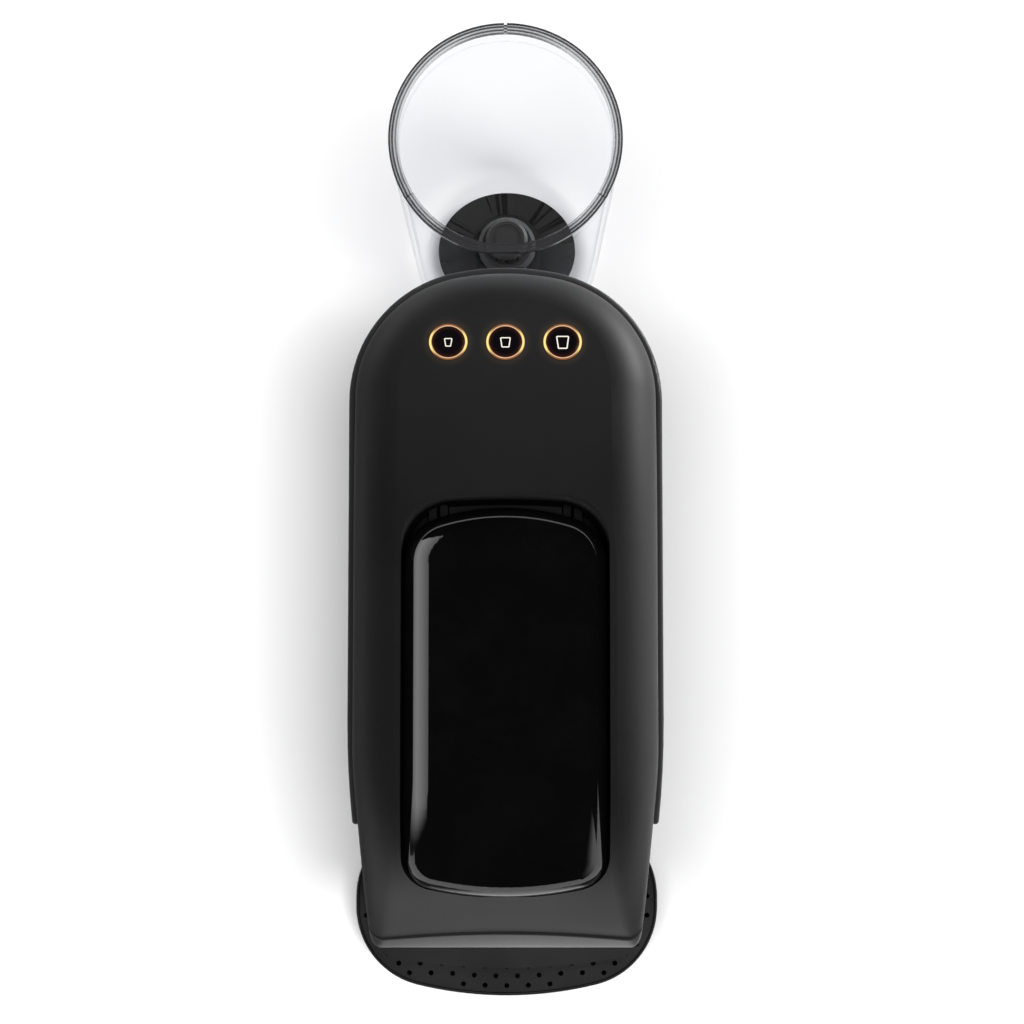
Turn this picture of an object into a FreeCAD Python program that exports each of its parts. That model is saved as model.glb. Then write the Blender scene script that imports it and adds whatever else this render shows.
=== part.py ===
"""Pod coffee machine: X to the right, front at -Y, rear at +Y, Z up, standing on z = 0. Millimetres."""
import FreeCAD, Part
import math
import os

import Sketcher

doc = FreeCAD.newDocument("pod_coffee_machine")
Vector = FreeCAD.Vector
Placement = FreeCAD.Placement
Rotation = FreeCAD.Rotation

SIZES = {
    # column and top
    "body_width": 123, "body_rear": 111, "body_front": -107, "rear_bow": 100, "rear_corner": 52,
    "shell_tuck": 2.2, "tuck_length": 40, "shell_wall": 3, "shell_bottom": 5, "seam_gap": 0.4,
    "top_height": 256, "cover_rise": 34, "shell_top": "=top_height - cover_rise",
    "cover_wall": 2.6, "skirt_depth": 8, "arch_radius": 330, "edge_radius": 18,
    "taper_start": -78, "taper_pull": 17,
    "nose_radius": 72, "nose_start": -85.3, "nose_bottom": 152, "nose_half": 53, "nose_edge": 3.2,
    # spout visor
    "visor_drop": 37, "visor_rise": "=top_height - visor_drop",
    "visor_depth": 42, "visor_arch": 182, "visor_proud": 1.2,
    # lever and its recess
    "lever_width": 76.6, "lever_rear": 13.9, "lever_front": -132.5, "lever_proud": 0.8, "lever_height": 16.8,
    "lever_top": "=top_height + lever_proud", "lever_low": "=lever_top - lever_height",
    "lever_rear_bow": 87, "lever_rear_corner": 18, "lever_front_bow": 125, "lever_front_corner": 12.5,
    "lever_bend": -92, "lever_bend_radius": 90, "lever_wall": 3, "lever_edge": 10,
    "recess_side": 0.8, "recess_rear": 2.8, "recess_bow": 300, "recess_corner": 20, "recess_roll": 3.4,
    "recess_under": 2, "recess_floor": "=lever_low - recess_under",
    "well_depth": 14.5, "well_floor": "=recess_floor - well_depth", "well_front": -15,
    # lever mechanism
    "pivot_y": -6, "pivot_rise": 6, "pivot_z": "=lever_low + pivot_rise", "pin_radius": 3,
    "lever_swing": 75, "brew_travel": 20,
    "follower_back": 30, "follower_drop": 30, "follower_radius": 2.5, "slot_gap": 0.3, "cam_wall": 3.7,
    "cam_inside": 26.5, "cam_thick": 3, "running_gap": 0.08,
    # brew unit
    "brew_drop": 48, "brew_height": "=pivot_z - brew_drop",
    "cage_radius": 20.5, "cage_bore": 15.5, "cage_front": -44, "cage_length": 30, "cage_end": 5,
    "frame_inside": 22.5, "frame_thick": 3, "frame_front": -58, "frame_rear": 25,
    "frame_drop": 20, "frame_top": "=pivot_z - frame_drop",
    "shelf_drop": 30, "shelf_top": "=brew_height - shelf_drop", "boss_radius": 6.5, "neck_clear": 4.7,
    "rod_radius": 2, "rod_x": 19.4, "rod_drop": 17, "rod_z": "=brew_height - rod_drop",
    "slot_width": 39, "slot_front": -45, "slot_length": 22,
    # buttons
    "button_y": 77.4, "button_pitch": 21.8, "button_radius": 6.2, "ring_inside": 6.4, "ring_outside": 7.4,
    # water tank
    "tank_radius": 45.2, "tank_gap": 0.6, "tank_y": "=body_rear + tank_gap + tank_radius",
    "tank_top": 245, "tank_bottom": 28, "tank_wall": 2.2, "rim_height": 12, "rim_wall": 3.8,
    "dock_width": 67, "dock_depth": 58,
    # drip tray
    "tray_width": 143, "tray_depth": 88.8, "tray_y": -157.6, "tray_corner": 38, "tray_bow": 180,
    "tray_top": 37.5, "tray_rim": 1.2, "tray_wall": 3.2, "grid_bottom": 34, "grid_thick": 3,
    "platform_half": 60.5, "platform_reach": 31.4, "platform_bow": 300, "platform_corner": 8,
    "platform_rise": 1.2, "hole_pitch": 10.25, "hole_row": 4.5, "hole_edge": 4.6, "hole_radius": 1.2,
    "row_bend": 1.5, "row_bow": 270,
    # capsule bin and base
    "bin_width": 93, "bin_bottom": 66, "bin_top": 146, "bin_rear": -10, "bin_wall": 2,
    "foot_height": 3, "foot_radius": 9, "base_floor": 6, "base_rim": 14, "base_step": 8,
    "tongue_half": 52, "tongue_reach": 29.5, "tongue_corner": 18, "neck_half": 20,
    # coffee outlet
    "spout_y": -132, "spout_bore": 4, "head_floor": 156,
    # tank valve
    "valve_bore": 5, "valve_radius": 8, "turret_radius": 14, "pin_top": 18, "plunger_gap": 0.4,
    # cord inlet
    "gland_y": 52, "gland_z": 24, "gland_radius": 6.5, "cord_radius": 3.6,
    # pump, heater and hoses
    "pump_x": -28, "pump_z": 49, "pump_radius": 10, "meter_x": 26, "meter_y": 66, "supply_z": 14.5,
    "heater_half": 28, "heater_height": 60, "heater_corner": 8, "hose_radius": 3.2, "spigot_radius": 3.3,
}


class Size:
    """A length that knows both its value and the sheet expression it comes from."""

    def __init__(self, value, text):
        self.value = float(value)
        self.text = text

    def join(self, other, sign, value):
        return Size(value, f"({self.text} {sign} {text_of(other)})")

    def __add__(self, other):
        return self.join(other, "+", self.value + float(other))

    def __sub__(self, other):
        return self.join(other, "-", self.value - float(other))

    def __mul__(self, other):
        return self.join(other, "*", self.value * float(other))

    def __truediv__(self, other):
        return self.join(other, "/", self.value / float(other))

    def __neg__(self):
        return self * -1

    def __float__(self):
        return self.value


def text_of(size):
    return size.text if isinstance(size, Size) else repr(float(size))


class Sheet:
    """The driving dimensions, one spreadsheet cell each."""


sheet = doc.addObject("Spreadsheet::Sheet", "sizes")
d = Sheet()
for row, (alias, entry) in enumerate(SIZES.items(), 1):
    sheet.set(f"A{row}", alias)
    sheet.set(f"B{row}", str(entry))
    sheet.setAlias(f"B{row}", alias)
doc.recompute()
for alias in SIZES:
    setattr(d, alias, Size(sheet.get(alias), f"sizes.{alias}"))

made = []


def bind(item, prop, size):
    """Ties a property to the sheet."""
    item.setExpression(prop, text_of(size))


def locate(item, x, y, z):
    for axis, size in zip("xyz", (x, y, z)):
        bind(item, f"Placement.Base.{axis}", size)
    return item


def keep(item):
    """Marks an item as a finished sub-part."""
    made.append(item)
    return item


def box(name, low, high):
    item = doc.addObject("Part::Box", name)
    for prop, a, b in zip(("Length", "Width", "Height"), low, high):
        span = b - a if isinstance(b, Size) else (-(a - b) if isinstance(a, Size) else b - a)
        bind(item, prop, span)
    return locate(item, *low)


TURNS = {"x": Rotation(Vector(0, 1, 0), 90), "y": Rotation(Vector(1, 0, 0), -90), "z": Rotation()}


def cylinder(name, axis, start, radius, length):
    item = doc.addObject("Part::Cylinder", name)
    item.Placement = Placement(Vector(), TURNS[axis])
    bind(item, "Radius", radius)
    bind(item, "Height", length)
    return locate(item, *start)


def fuse(name, *items):
    item = doc.addObject("Part::MultiFuse", name)
    item.Shapes = list(items)
    return item


def cut(name, base, *tools):
    item = doc.addObject("Part::Cut", name)
    item.Base = base
    item.Tool = tools[0] if len(tools) == 1 else fuse(name + "_tools", *tools)
    return item


def group(name, *items):
    item = doc.addObject("Part::Compound", name)
    item.Links = list(items)
    return item


def feature(name, shape):
    item = doc.addObject("Part::Feature", name)
    item.Shape = shape
    return item


def point(x, y, z=0):
    return Vector(float(x), float(y), float(z))


def line(a, b):
    return Part.LineSegment(a, b)


def arc(centre, radius, first, last):
    """Arc about a centre from one angle to another, in degrees, in the sketch plane."""
    def at(turn):
        return centre + Vector(math.cos(math.radians(turn)), math.sin(math.radians(turn))) * float(radius)
    return Part.Arc(at(first), at((first + last) / 2), at(last))


def wire(curves):
    return Part.Wire(Part.__sortEdges__([c.toShape() for c in curves]))


def prism(curves, low, high):
    """Upright solid over a closed outline in the XY plane."""
    face = Part.Face(wire(curves))
    face.translate(Vector(0, 0, float(low)))
    return face.extrude(Vector(0, 0, float(high) - float(low)))


def slab(curves, low, high):
    """Solid along X over a closed outline drawn with Y across and Z up."""
    face = Part.Face(wire(curves))
    face.Placement = Placement(Vector(float(low), 0, 0), Rotation(Vector(1, 1, 1), 120))
    return face.extrude(Vector(float(high) - float(low), 0, 0))


def polygon(*corners):
    ends = corners[1:] + corners[:1]
    return [line(point(*a), point(*b)) for a, b in zip(corners, ends)]


def bowed_end(half, tip, bow, corner, side):
    """Bowed end of an outline: corner arc, bow, corner arc. The side is 1 at the rear and -1 at the front."""
    half, tip, bow, corner = (float(n) for n in (half, tip, bow, corner))
    across = half - corner
    along = math.sqrt((bow - corner) ** 2 - across ** 2)
    turn = math.degrees(math.atan2(along, across))
    middle = Vector(0, tip - side * bow)
    right = Vector(across, middle.y + side * along)
    left = Vector(-across, right.y)
    return [
        arc(right, corner, 0, side * turn),
        arc(middle, bow, side * turn, side * (180 - turn)),
        arc(left, corner, side * (180 - turn), side * 180),
    ], right.y


def column_outline(inset, front):
    """Plan of the column, moved in by an inset: the sides draw in a little before the cut at the front."""
    half = float(d.body_width) / 2 - float(inset)
    end, side_y = bowed_end(half, d.body_rear - inset, d.rear_bow - inset, d.rear_corner - inset, 1)
    front = float(front)
    start = float(d.body_front + d.tuck_length)
    bend = float((d.tuck_length * d.tuck_length / d.shell_tuck + d.shell_tuck) / 2 - inset)
    turn = math.degrees(math.asin((start - front) / bend))
    tip = half - bend * (1 - math.cos(math.radians(turn)))
    return end + [
        line(point(half, side_y), point(half, start)),
        arc(Vector(half - bend, start), bend, 0, -turn),
        line(point(tip, front), point(-tip, front)),
        arc(Vector(bend - half, start), bend, 180, 180 + turn),
        line(point(-half, start), point(-half, side_y)),
    ]


def tray_outline(inset):
    """Plan of the drip tray: short straight sides, round corners, bowed front and rear."""
    half = float(d.tray_width) / 2 - inset
    deep = float(d.tray_depth) / 2 - inset
    middle = float(d.tray_y)
    bow, corner = d.tray_bow - inset, d.tray_corner - inset
    front, low = bowed_end(half, middle - deep, bow, corner, -1)
    rear, high = bowed_end(half, middle + deep, bow, corner, 1)
    return front + rear + [
        line(point(half, low), point(half, high)),
        line(point(-half, low), point(-half, high)),
    ]


def lever_outline(inset):
    """Plan of the lever: straight sides, rounded and slightly bowed ends."""
    half = float(d.lever_width) / 2 - inset
    front, low = bowed_end(
        half, d.lever_front + inset, d.lever_front_bow - inset, d.lever_front_corner - inset, -1)
    rear, high = bowed_end(
        half, d.lever_rear - inset, d.lever_rear_bow - inset, d.lever_rear_corner - inset, 1)
    return front + rear + [
        line(point(half, low), point(half, high)),
        line(point(-half, low), point(-half, high)),
    ]


def recess_outline(grow, shift=0):
    """Plan of the recess round the lever: close at the sides, squarer and wider at the rear."""
    half = float(d.lever_width / 2 + d.recess_side) + grow
    gap = float(d.recess_side) + grow
    front, low = bowed_end(
        half, d.lever_front - gap, d.lever_front_bow + gap, d.lever_front_corner + gap, -1)
    tip = d.lever_rear + d.recess_rear + grow + shift
    rear, high = bowed_end(half, tip, d.recess_bow + grow, d.recess_corner + grow, 1)
    return front + rear + [
        line(point(half, low), point(half, high)),
        line(point(-half, low), point(-half, high)),
    ]


def recess_space():
    """Space the lever lies in, its rear edge rolled outward up to the top of the cover."""
    roll = float(d.recess_roll)
    level = float(d.top_height) - 0.4
    ceiling = float(d.top_height) + 20
    sections = []
    for turn in (0, 30, 60, 90):
        angle = math.radians(turn)
        section = wire(recess_outline(0, roll * (1 - math.cos(angle))))
        section.translate(Vector(0, 0, level - roll * (1 - math.sin(angle))))
        sections.append(section)
    space = prism(recess_outline(0), d.recess_floor, level - roll)
    space = space.fuse(Part.makeLoft(sections, True))
    return space.fuse(prism(recess_outline(0, roll), level, ceiling))


def new_body(name):
    return doc.addObject("PartDesign::Body", name)


def sketch(body, role, curves, offset=0):
    """Sketch on one of a body's own origin planes, moved along the plane's normal."""
    item = body.newObject("Sketcher::SketchObject", body.Name + "_sketch")
    plane = [f for f in body.Origin.OriginFeatures if f.Role == role][0]
    item.AttachmentSupport = (plane, [""])
    item.MapMode = "FlatFace"
    bind(item, "AttachmentOffset.Base.z", offset)
    item.addGeometry(curves, False)
    return item


def circle(body, role, x, y, radius, offset=0):
    """Sketch of one circle with its radius and centre tied to the sheet."""
    item = sketch(body, role, [Part.Circle(point(x, y), Vector(0, 0, 1), float(radius))], offset)
    item.addConstraint(Sketcher.Constraint("Radius", 0, float(radius)))
    bind(item, "Constraints[0]", radius)
    for kind, size in (("DistanceX", x), ("DistanceY", y)):
        if float(size):
            index = item.addConstraint(Sketcher.Constraint(kind, -1, 1, 0, 3, float(size)))
            bind(item, f"Constraints[{index}]", size)
    return item


def pad(body, profile, length):
    item = body.newObject("PartDesign::Pad", body.Name + "_pad")
    item.Profile = profile
    bind(item, "Length", length)
    doc.recompute()
    return item


def pocket(body, profile, depth):
    """Pocket that goes up from its sketch, the way a pad does."""
    item = body.newObject("PartDesign::Pocket", body.Name + "_pocket")
    item.Profile = profile
    item.Reversed = True
    bind(item, "Length", depth)
    doc.recompute()
    return item


def turned(name, corners):
    """Body turned about Z from a half section given as (radius, height) corners."""
    body = new_body(name)
    profile = sketch(body, "XZ_Plane", polygon(*corners))
    item = body.newObject("PartDesign::Revolution", name + "_turn")
    item.Profile = profile
    item.ReferenceAxis = (profile, ["V_Axis"])
    item.Angle = 360
    doc.recompute()
    return body


def tube_path(points, bend):
    """Polyline through points with every corner rounded to a bend radius."""
    edges = []
    start = points[0]
    for before, here, after in zip(points, points[1:], points[2:]):
        back = (before - here).normalize()
        ahead = (after - here).normalize()
        half = back.getAngle(ahead) / 2
        reach = bend / math.tan(half)
        middle = (back + ahead).normalize() * (bend / math.sin(half) - bend)
        edges.append(Part.makeLine(start, here + back * reach))
        edges.append(Part.Arc(here + back * reach, here + middle, here + ahead * reach).toShape())
        start = here + ahead * reach
    edges.append(Part.makeLine(start, points[-1]))
    return Part.Wire(edges)


def hose(name, points, radius, bend, bore=0):
    path = tube_path([Vector(*p) for p in points], bend)
    ahead = path.Edges[0].tangentAt(path.Edges[0].FirstParameter)
    ring = Part.Wire(Part.makeCircle(radius, Vector(*points[0]), ahead))
    shape = path.makePipeShell([ring], True, True)
    if bore:
        inner = Part.Wire(Part.makeCircle(bore, Vector(*points[0]), ahead))
        shape = shape.cut(path.makePipeShell([inner], True, True))
    return keep(feature(name, shape))


def face_turn(solid, edge):
    """Normals of the two faces that meet at an edge, at the middle of the edge."""
    middle = edge.valueAt((edge.FirstParameter + edge.LastParameter) / 2)
    normals = []
    for face in solid.ancestorsOfType(edge, Part.Face):
        u, w = face.Surface.parameter(middle)
        normals.append(face.normalAt(u, w))
    return middle, normals


def crest_edges(solid, floor):
    """Edges where an upright wall meets a face drawn in the side view, above a floor height."""
    found = []
    for index, edge in enumerate(solid.Edges, 1):
        middle, normals = face_turn(solid, edge)
        if len(normals) < 2 or middle.z < floor:
            continue
        wall = [n for n in normals if abs(n.z) < 1e-6 and abs(n.x) > 1e-6]
        roof = [n for n in normals if abs(n.x) < 1e-6 and n.z > -0.5 and n.y < 0.5 + abs(n.z)]
        if wall and roof:
            found.append((index, edge, middle))
    return found


# Shell and cover

def cover_plan(inset):
    """Plan of the top cover: column outline in the shell, sides drawn in to a narrower nose."""
    inset = float(d.shell_wall) + float(d.seam_gap) + inset
    half = float(d.body_width) / 2 - inset
    end, side_y = bowed_end(half, d.body_rear - inset, d.rear_bow - inset, d.rear_corner - inset, 1)
    start = float(d.taper_start)
    pull = float(d.taper_pull)
    front = float(d.nose_start) - float(d.nose_radius) * 1.25
    tip = float(d.nose_half) - (inset - float(d.shell_wall) - float(d.seam_gap))
    sides = []
    for side in (1, -1):
        waist = Part.BezierCurve()
        waist.setPoles([
            point(side * half, start), point(side * (half - 0.3), start - pull),
            point(side * (tip + 1), start - 2 * pull), point(side * tip, front)])
        sides.append(waist)
        sides.append(line(point(side * half, side_y), point(side * half, start)))
    return end + sides + [line(point(tip, front), point(-tip, front))]


def cover_profile(inset, low, step_y=None, step_z=None):
    """Side view of the top cover: arched rear, level crest, round nose."""
    top = float(d.top_height)
    arch = float(d.arch_radius)
    nose = float(d.nose_radius)
    start = float(d.nose_start)
    past = float(d.body_rear) * 1.1
    low = float(low)
    turn = math.degrees(math.acos(past / (arch - inset)))
    rear_z = top - arch + (arch - inset) * math.sin(math.radians(turn))
    front_y = start - nose + inset
    bottom = [(front_y, low), (past, low)]
    if step_y is not None:
        bottom = [(front_y, low), (step_y, low), (step_y, step_z), (past, step_z)]
    bottom.append((past, rear_z))
    return [
        arc(Vector(0, top - arch), arch - inset, turn, 90),
        line(point(0, top - inset), point(start, top - inset)),
        arc(Vector(start, top - nose), nose - inset, 90, 180),
        line(point(front_y, top - nose), point(front_y, low)),
    ] + [line(point(*a), point(*b)) for a, b in zip(bottom, bottom[1:])]


def rounded_top(name, block, floor, wide, narrow):
    """Rounds the crest of a block: wide along the top, drawn down to narrow over the nose."""
    item = doc.addObject("Part::Fillet", name)
    item.Base = feature(name + "_block", block)
    level = float(d.top_height) - float(d.nose_radius)
    chosen = []
    corners = {}
    for index, edge, middle in crest_edges(block, floor):
        ends = [edge.valueAt(edge.FirstParameter), edge.valueAt(edge.LastParameter)]
        low = [p.z < level + 1e-3 and p.y < float(d.nose_start) for p in ends]
        chosen.append((index, middle.x > 0, [narrow if below else wide for below in low]))
        if low[0] != low[1]:
            corners[middle.x > 0] = ends[low.index(True)]
    reversed_side = {True: False, False: False}
    for attempt in range(2):
        item.Edges = [(n, *(radii[::-1] if reversed_side[side] else radii)) for n, side, radii in chosen]
        doc.recompute()
        for side, corner in corners.items():
            probe = corner + Vector(-2 if side else 2, 2, 1)
            reversed_side[side] = not item.Shape.isInside(probe, 1e-6, True)
        if not any(reversed_side.values()):
            break
    return item


def cover_block(name, inset, low, step_y=None, step_z=None):
    width = float(d.body_width)
    side = slab(cover_profile(inset, low, step_y, step_z), -width, width)
    block = prism(cover_plan(inset), float(low) - 1, float(d.top_height) + 1).common(side)
    wide = float(d.edge_radius) - inset
    narrow = float(d.nose_edge) - inset
    floor = float(low) + (1 if step_z is None else 0.1)
    return rounded_top(name, block.Solids[0], floor, wide, narrow)


def visor_window(gap):
    """Front view of the visor opening, X across and Z up, arched at the top and open past both sides."""
    half = float(d.nose_half) + 10
    radius = float(d.visor_arch) - gap
    top = float(d.visor_rise)
    low = float(d.nose_bottom) - (0 if gap else 5)
    turn = math.degrees(math.asin(half / radius))
    middle = Vector(0, top - float(d.visor_arch))
    side = middle.y + radius * math.cos(math.radians(turn))
    return [
        arc(middle, radius, 90 - turn, 90 + turn),
        line(point(-half, side), point(-half, low)),
        line(point(-half, low), point(half, low)),
        line(point(half, low), point(half, side)),
    ]


def visor_back():
    """How far back the visor reaches along the sides of the nose."""
    return float(d.nose_start - d.nose_radius + d.visor_depth)


def front_slab(curves, near, far):
    """Solid along Y over an outline drawn with X across and Z up."""
    face = Part.Face(wire(curves))
    face.Placement = Placement(Vector(0, float(far), 0), Rotation(Vector(1, 0, 0), 90))
    return face.extrude(Vector(0, float(near) - float(far), 0))


def button_frame(x=0.0):
    """Placement on the arched top at the buttons, its Z square to the surface."""
    tilt = math.asin(float(d.button_y) / float(d.arch_radius))
    height = float(d.top_height) - float(d.arch_radius) * (1 - math.cos(tilt))
    return Placement(Vector(x, float(d.button_y), height), Rotation(Vector(1, 0, 0), -math.degrees(tilt)))


BUTTON_NAMES = ("button_small", "button_medium", "button_large")


def button_x(number):
    return (number - 1) * float(d.button_pitch)


def make_top_cover():
    front = float(d.body_front) + 2
    skirt = float(d.shell_top) - float(d.skirt_depth)
    outer = cover_block("cover_outside", 0, d.nose_bottom, front, skirt)
    inner = cover_block("cover_inside", float(d.cover_wall), float(d.nose_bottom) - 20)
    wall = float(d.cover_wall)
    floor = float(d.recess_floor)
    well = float(d.well_floor)
    ceiling = float(d.top_height) + 20
    recess = recess_space()
    hollow = prism(recess_outline(0), well, floor + 1)
    tub = prism(recess_outline(wall), floor - wall, ceiling)
    pit = prism(recess_outline(wall), well - wall, ceiling)
    half = float(d.body_width)
    behind = Part.makeBox(2 * half, half, half, Vector(-half, float(d.well_front), well))
    behind_wall = Part.makeBox(2 * half, half, half, Vector(-half, float(d.well_front) - wall, well - wall))
    tub = tub.fuse(pit.common(behind_wall)).common(outer.Shape)
    shape = outer.Shape.cut(inner.Shape).fuse(tub)
    shape = shape.cut(recess.fuse(hollow.common(behind)))
    slot = float(d.slot_width) / 2
    shape = shape.cut(Part.makeBox(
        2 * slot, float(d.slot_length), 40, Vector(-slot, float(d.slot_front), floor - 20)))
    reach = float(d.pivot_y) - 50
    inside = float(d.frame_inside) - 0.5
    width = float(d.cam_inside) + float(d.cam_thick) + 0.7 - inside
    for x in (inside, -inside - width):
        shape = shape.cut(Part.makeBox(width, 76, 22, Vector(x, reach, well - 5)))
    far = float(d.nose_start) - 2 * float(d.nose_radius)
    shape = shape.cut(front_slab(visor_window(0), far, visor_back()))
    for number in range(3):
        hole = Part.makeCylinder(float(d.ring_outside) + 0.1, 40)
        hole.Placement = button_frame(button_x(number)).multiply(Placement(Vector(0, 0, -20), Rotation()))
        shape = shape.cut(hole)
    return keep(feature("top_cover", shape))


def make_spout_visor():
    """Front of the nose below the arched seam, wrapped round its sides and a little proud of the cover."""
    proud = float(d.visor_proud)
    low = float(d.nose_bottom)
    outer = doc.getObject("cover_outside").Shape.copy()
    outer.translate(Vector(0, -proud, 0))
    inner = doc.getObject("cover_inside")
    gap = float(d.seam_gap) * 0.75
    far = float(d.nose_start) - 2 * float(d.nose_radius)
    window = front_slab(visor_window(gap), far, visor_back() - gap)
    shape = outer.common(window).cut(inner.Shape).Solids[0]
    skin = outer.Shells[0]
    rim = []
    for edge in shape.Edges:
        middle = edge.valueAt((edge.FirstParameter + edge.LastParameter) / 2)
        on_skin = skin.distToShape(Part.Vertex(middle))[0] < 1e-3
        if middle.z > low + 1 and on_skin and not is_seam(shape, edge):
            rim.append(edge)
    return keep(feature("spout_visor", shape.makeFillet(proud * 0.7, rim)))


def is_seam(solid, edge):
    """Whether the faces on both sides of an edge run smoothly into each other."""
    normals = face_turn(solid, edge)[1]
    return len(normals) < 2 or normals[0].getAngle(normals[1]) < 0.1


def make_side_shell():
    """U-shaped wall round sides and rear, with a notch for the dock neck and a hole for the cord gland."""
    body = new_body("side_shell")
    outside = sketch(body, "XY_Plane", column_outline(0, d.body_front), d.shell_bottom)
    pad(body, outside, d.shell_top - d.shell_bottom)
    inside = sketch(body, "XY_Plane", column_outline(d.shell_wall, d.body_front - 1), 0)
    pocket(body, inside, d.shell_top + 10)
    half = float(d.neck_half + d.seam_gap)
    rear = float(d.body_rear)
    neck = polygon((-half, rear - 18), (half, rear - 18), (half, rear + 12), (-half, rear + 12))
    pocket(body, sketch(body, "XY_Plane", neck, 0), d.base_step + 12 + d.seam_gap)
    gland = cylinder("gland_hole", "x", (40, d.gland_y, d.gland_z), d.gland_radius + 0.3, 60)
    shell = cut("side_shell_bored", body, gland)
    doc.recompute()
    front = float(d.body_front) + 1e-3
    ends = doc.addObject("Part::Fillet", "side_shell_ends")
    ends.Base = shell
    corners = []
    for index, edge in enumerate(shell.Shape.Edges, 1):
        if edge.BoundBox.YMax < front and edge.BoundBox.ZLength > 100:
            corners.append((index, 1.45, 1.45))
    ends.Edges = corners
    doc.recompute()
    lip = doc.addObject("Part::Fillet", "side_shell_rounded")
    lip.Base = ends
    top = float(d.shell_top) - 1e-3
    lip.Edges = [(n, 1.3, 1.3) for n, edge in enumerate(ends.Shape.Edges, 1) if edge.BoundBox.ZMin > top]
    doc.recompute()
    body.Label = "side_shell_wall"
    lip.Label = "side_shell"
    return keep(lip)


# Lever and cams

def lever_profile(inset):
    """Side view of the lever: level top that bends down to the front edge."""
    top = float(d.lever_top) - inset
    low = float(d.lever_low) - (1 if inset else 0)
    bend = float(d.lever_bend)
    radius = float(d.lever_bend_radius)
    past = float(d.lever_rear) + 20
    turn = math.degrees(math.asin((bend - float(d.lever_front) + 10) / radius))
    tip = Vector(bend, top + inset - radius) + Vector(
        -math.sin(math.radians(turn)), math.cos(math.radians(turn))) * (radius - inset)
    return [
        line(point(past, top), point(bend, top)),
        arc(Vector(bend, float(d.lever_top) - radius), radius - inset, 90, 90 + turn),
        line(tip, point(tip.x, low)),
        line(point(tip.x, low), point(past, low)),
        line(point(past, low), point(past, top)),
    ]


def make_lever_shell():
    width = float(d.lever_width)
    low = float(d.lever_low)
    high = float(d.lever_top) + 1
    wall = float(d.lever_wall)
    block = prism(lever_outline(0), low, high).common(slab(lever_profile(0), -width, width)).Solids[0]
    edges = [edge for index, edge, middle in crest_edges(block, low + 0.5)]
    block = block.makeFillet(float(d.lever_edge), edges)
    hollow = prism(lever_outline(wall), low - 1, high).common(slab(lever_profile(wall), -width, width))
    return keep(feature("lever_shell", block.cut(hollow)))


def make_lever_liner():
    low = float(d.lever_low)
    plate = prism(lever_outline(float(d.lever_wall) + 0.15), low, low + 2.5)
    front = float(d.lever_front) + 9
    rear = float(d.pivot_y) - 14
    width = float(d.lever_width)
    span = Part.makeBox(width, rear - front, 10, Vector(-width / 2, front, low - 1))
    return keep(feature("lever_liner", plate.common(span)))


def follower_path(turn):
    """Where the follower pin stands in the lever when the lever is open by a turn in radians.

    The pin moves evenly with the lever: travel times turn over full swing. Turning its place back by the
    lever's own turn gives the line of the cam slot, measured from the lever pivot.
    """
    swing = math.radians(float(d.lever_swing))
    across = float(d.brew_travel) * turn / swing - float(d.follower_back)
    down = float(d.follower_drop)
    return Vector(
        across * math.cos(turn) + down * math.sin(turn),
        across * math.sin(turn) - down * math.cos(turn))


def cam_band(half):
    """Closed outline at an even distance on both sides of the follower path."""
    swing = math.radians(float(d.lever_swing))
    steps = 10
    left, right, heads = [], [], []
    for number in range(steps + 1):
        turn = swing * number / steps
        ahead = (follower_path(turn + 1e-4) - follower_path(turn - 1e-4)).normalize()
        across = Vector(-ahead.y, ahead.x) * half
        left.append(follower_path(turn) + across)
        right.append(follower_path(turn) - across)
        heads.append(ahead * half)
    curves = []
    for points in (left, right):
        curve = Part.BSplineCurve()
        curve.interpolate(points)
        curves.append(curve)
    start = follower_path(0) - heads[0]
    end = follower_path(swing) + heads[-1]
    curves.append(Part.Arc(left[0], start, right[0]))
    curves.append(Part.Arc(left[-1], end, right[-1]))
    return curves


def make_cam_plate(name, side):
    slot = float(d.follower_radius) + float(d.slot_gap)
    thick = float(d.cam_thick)
    inside = float(d.cam_inside)
    swing = math.radians(float(d.lever_swing))
    low = float(d.lever_low) - float(d.pivot_z)
    fan = [(0, 0)] + [follower_path(swing * n / 8)[:2] for n in range(9)]
    arm = polygon((-50, low - 4.5), (0, low - 4.5), (0, low), (-50, low))
    hub = [Part.Circle(Vector(), Vector(0, 0, 1), 5.5)]
    bore = [Part.Circle(Vector(), Vector(0, 0, 1), float(d.pin_radius) + float(d.running_gap))]
    plate = slab(cam_band(slot + float(d.cam_wall)), 0, thick)
    for outline in (polygon(*fan), arm, hub):
        plate = plate.fuse(slab(outline, 0, thick))
    plate = plate.cut(slab(cam_band(slot), -1, thick + 1)).cut(slab(bore, -1, thick + 1)).removeSplitter()
    item = keep(feature(name, plate))
    start = d.cam_inside if side > 0 else -(d.cam_inside + d.cam_thick)
    return locate(item, start, d.pivot_y, d.pivot_z)


def make_lever_pin():
    reach = d.cam_inside + d.cam_thick + 1.5
    return keep(cylinder("lever_pin", "x", (-reach, d.pivot_y, d.pivot_z), d.pin_radius, reach * 2))


# Brew unit

def follower_y():
    return d.pivot_y - d.follower_back


def follower_z():
    return d.pivot_z - d.follower_drop


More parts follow.
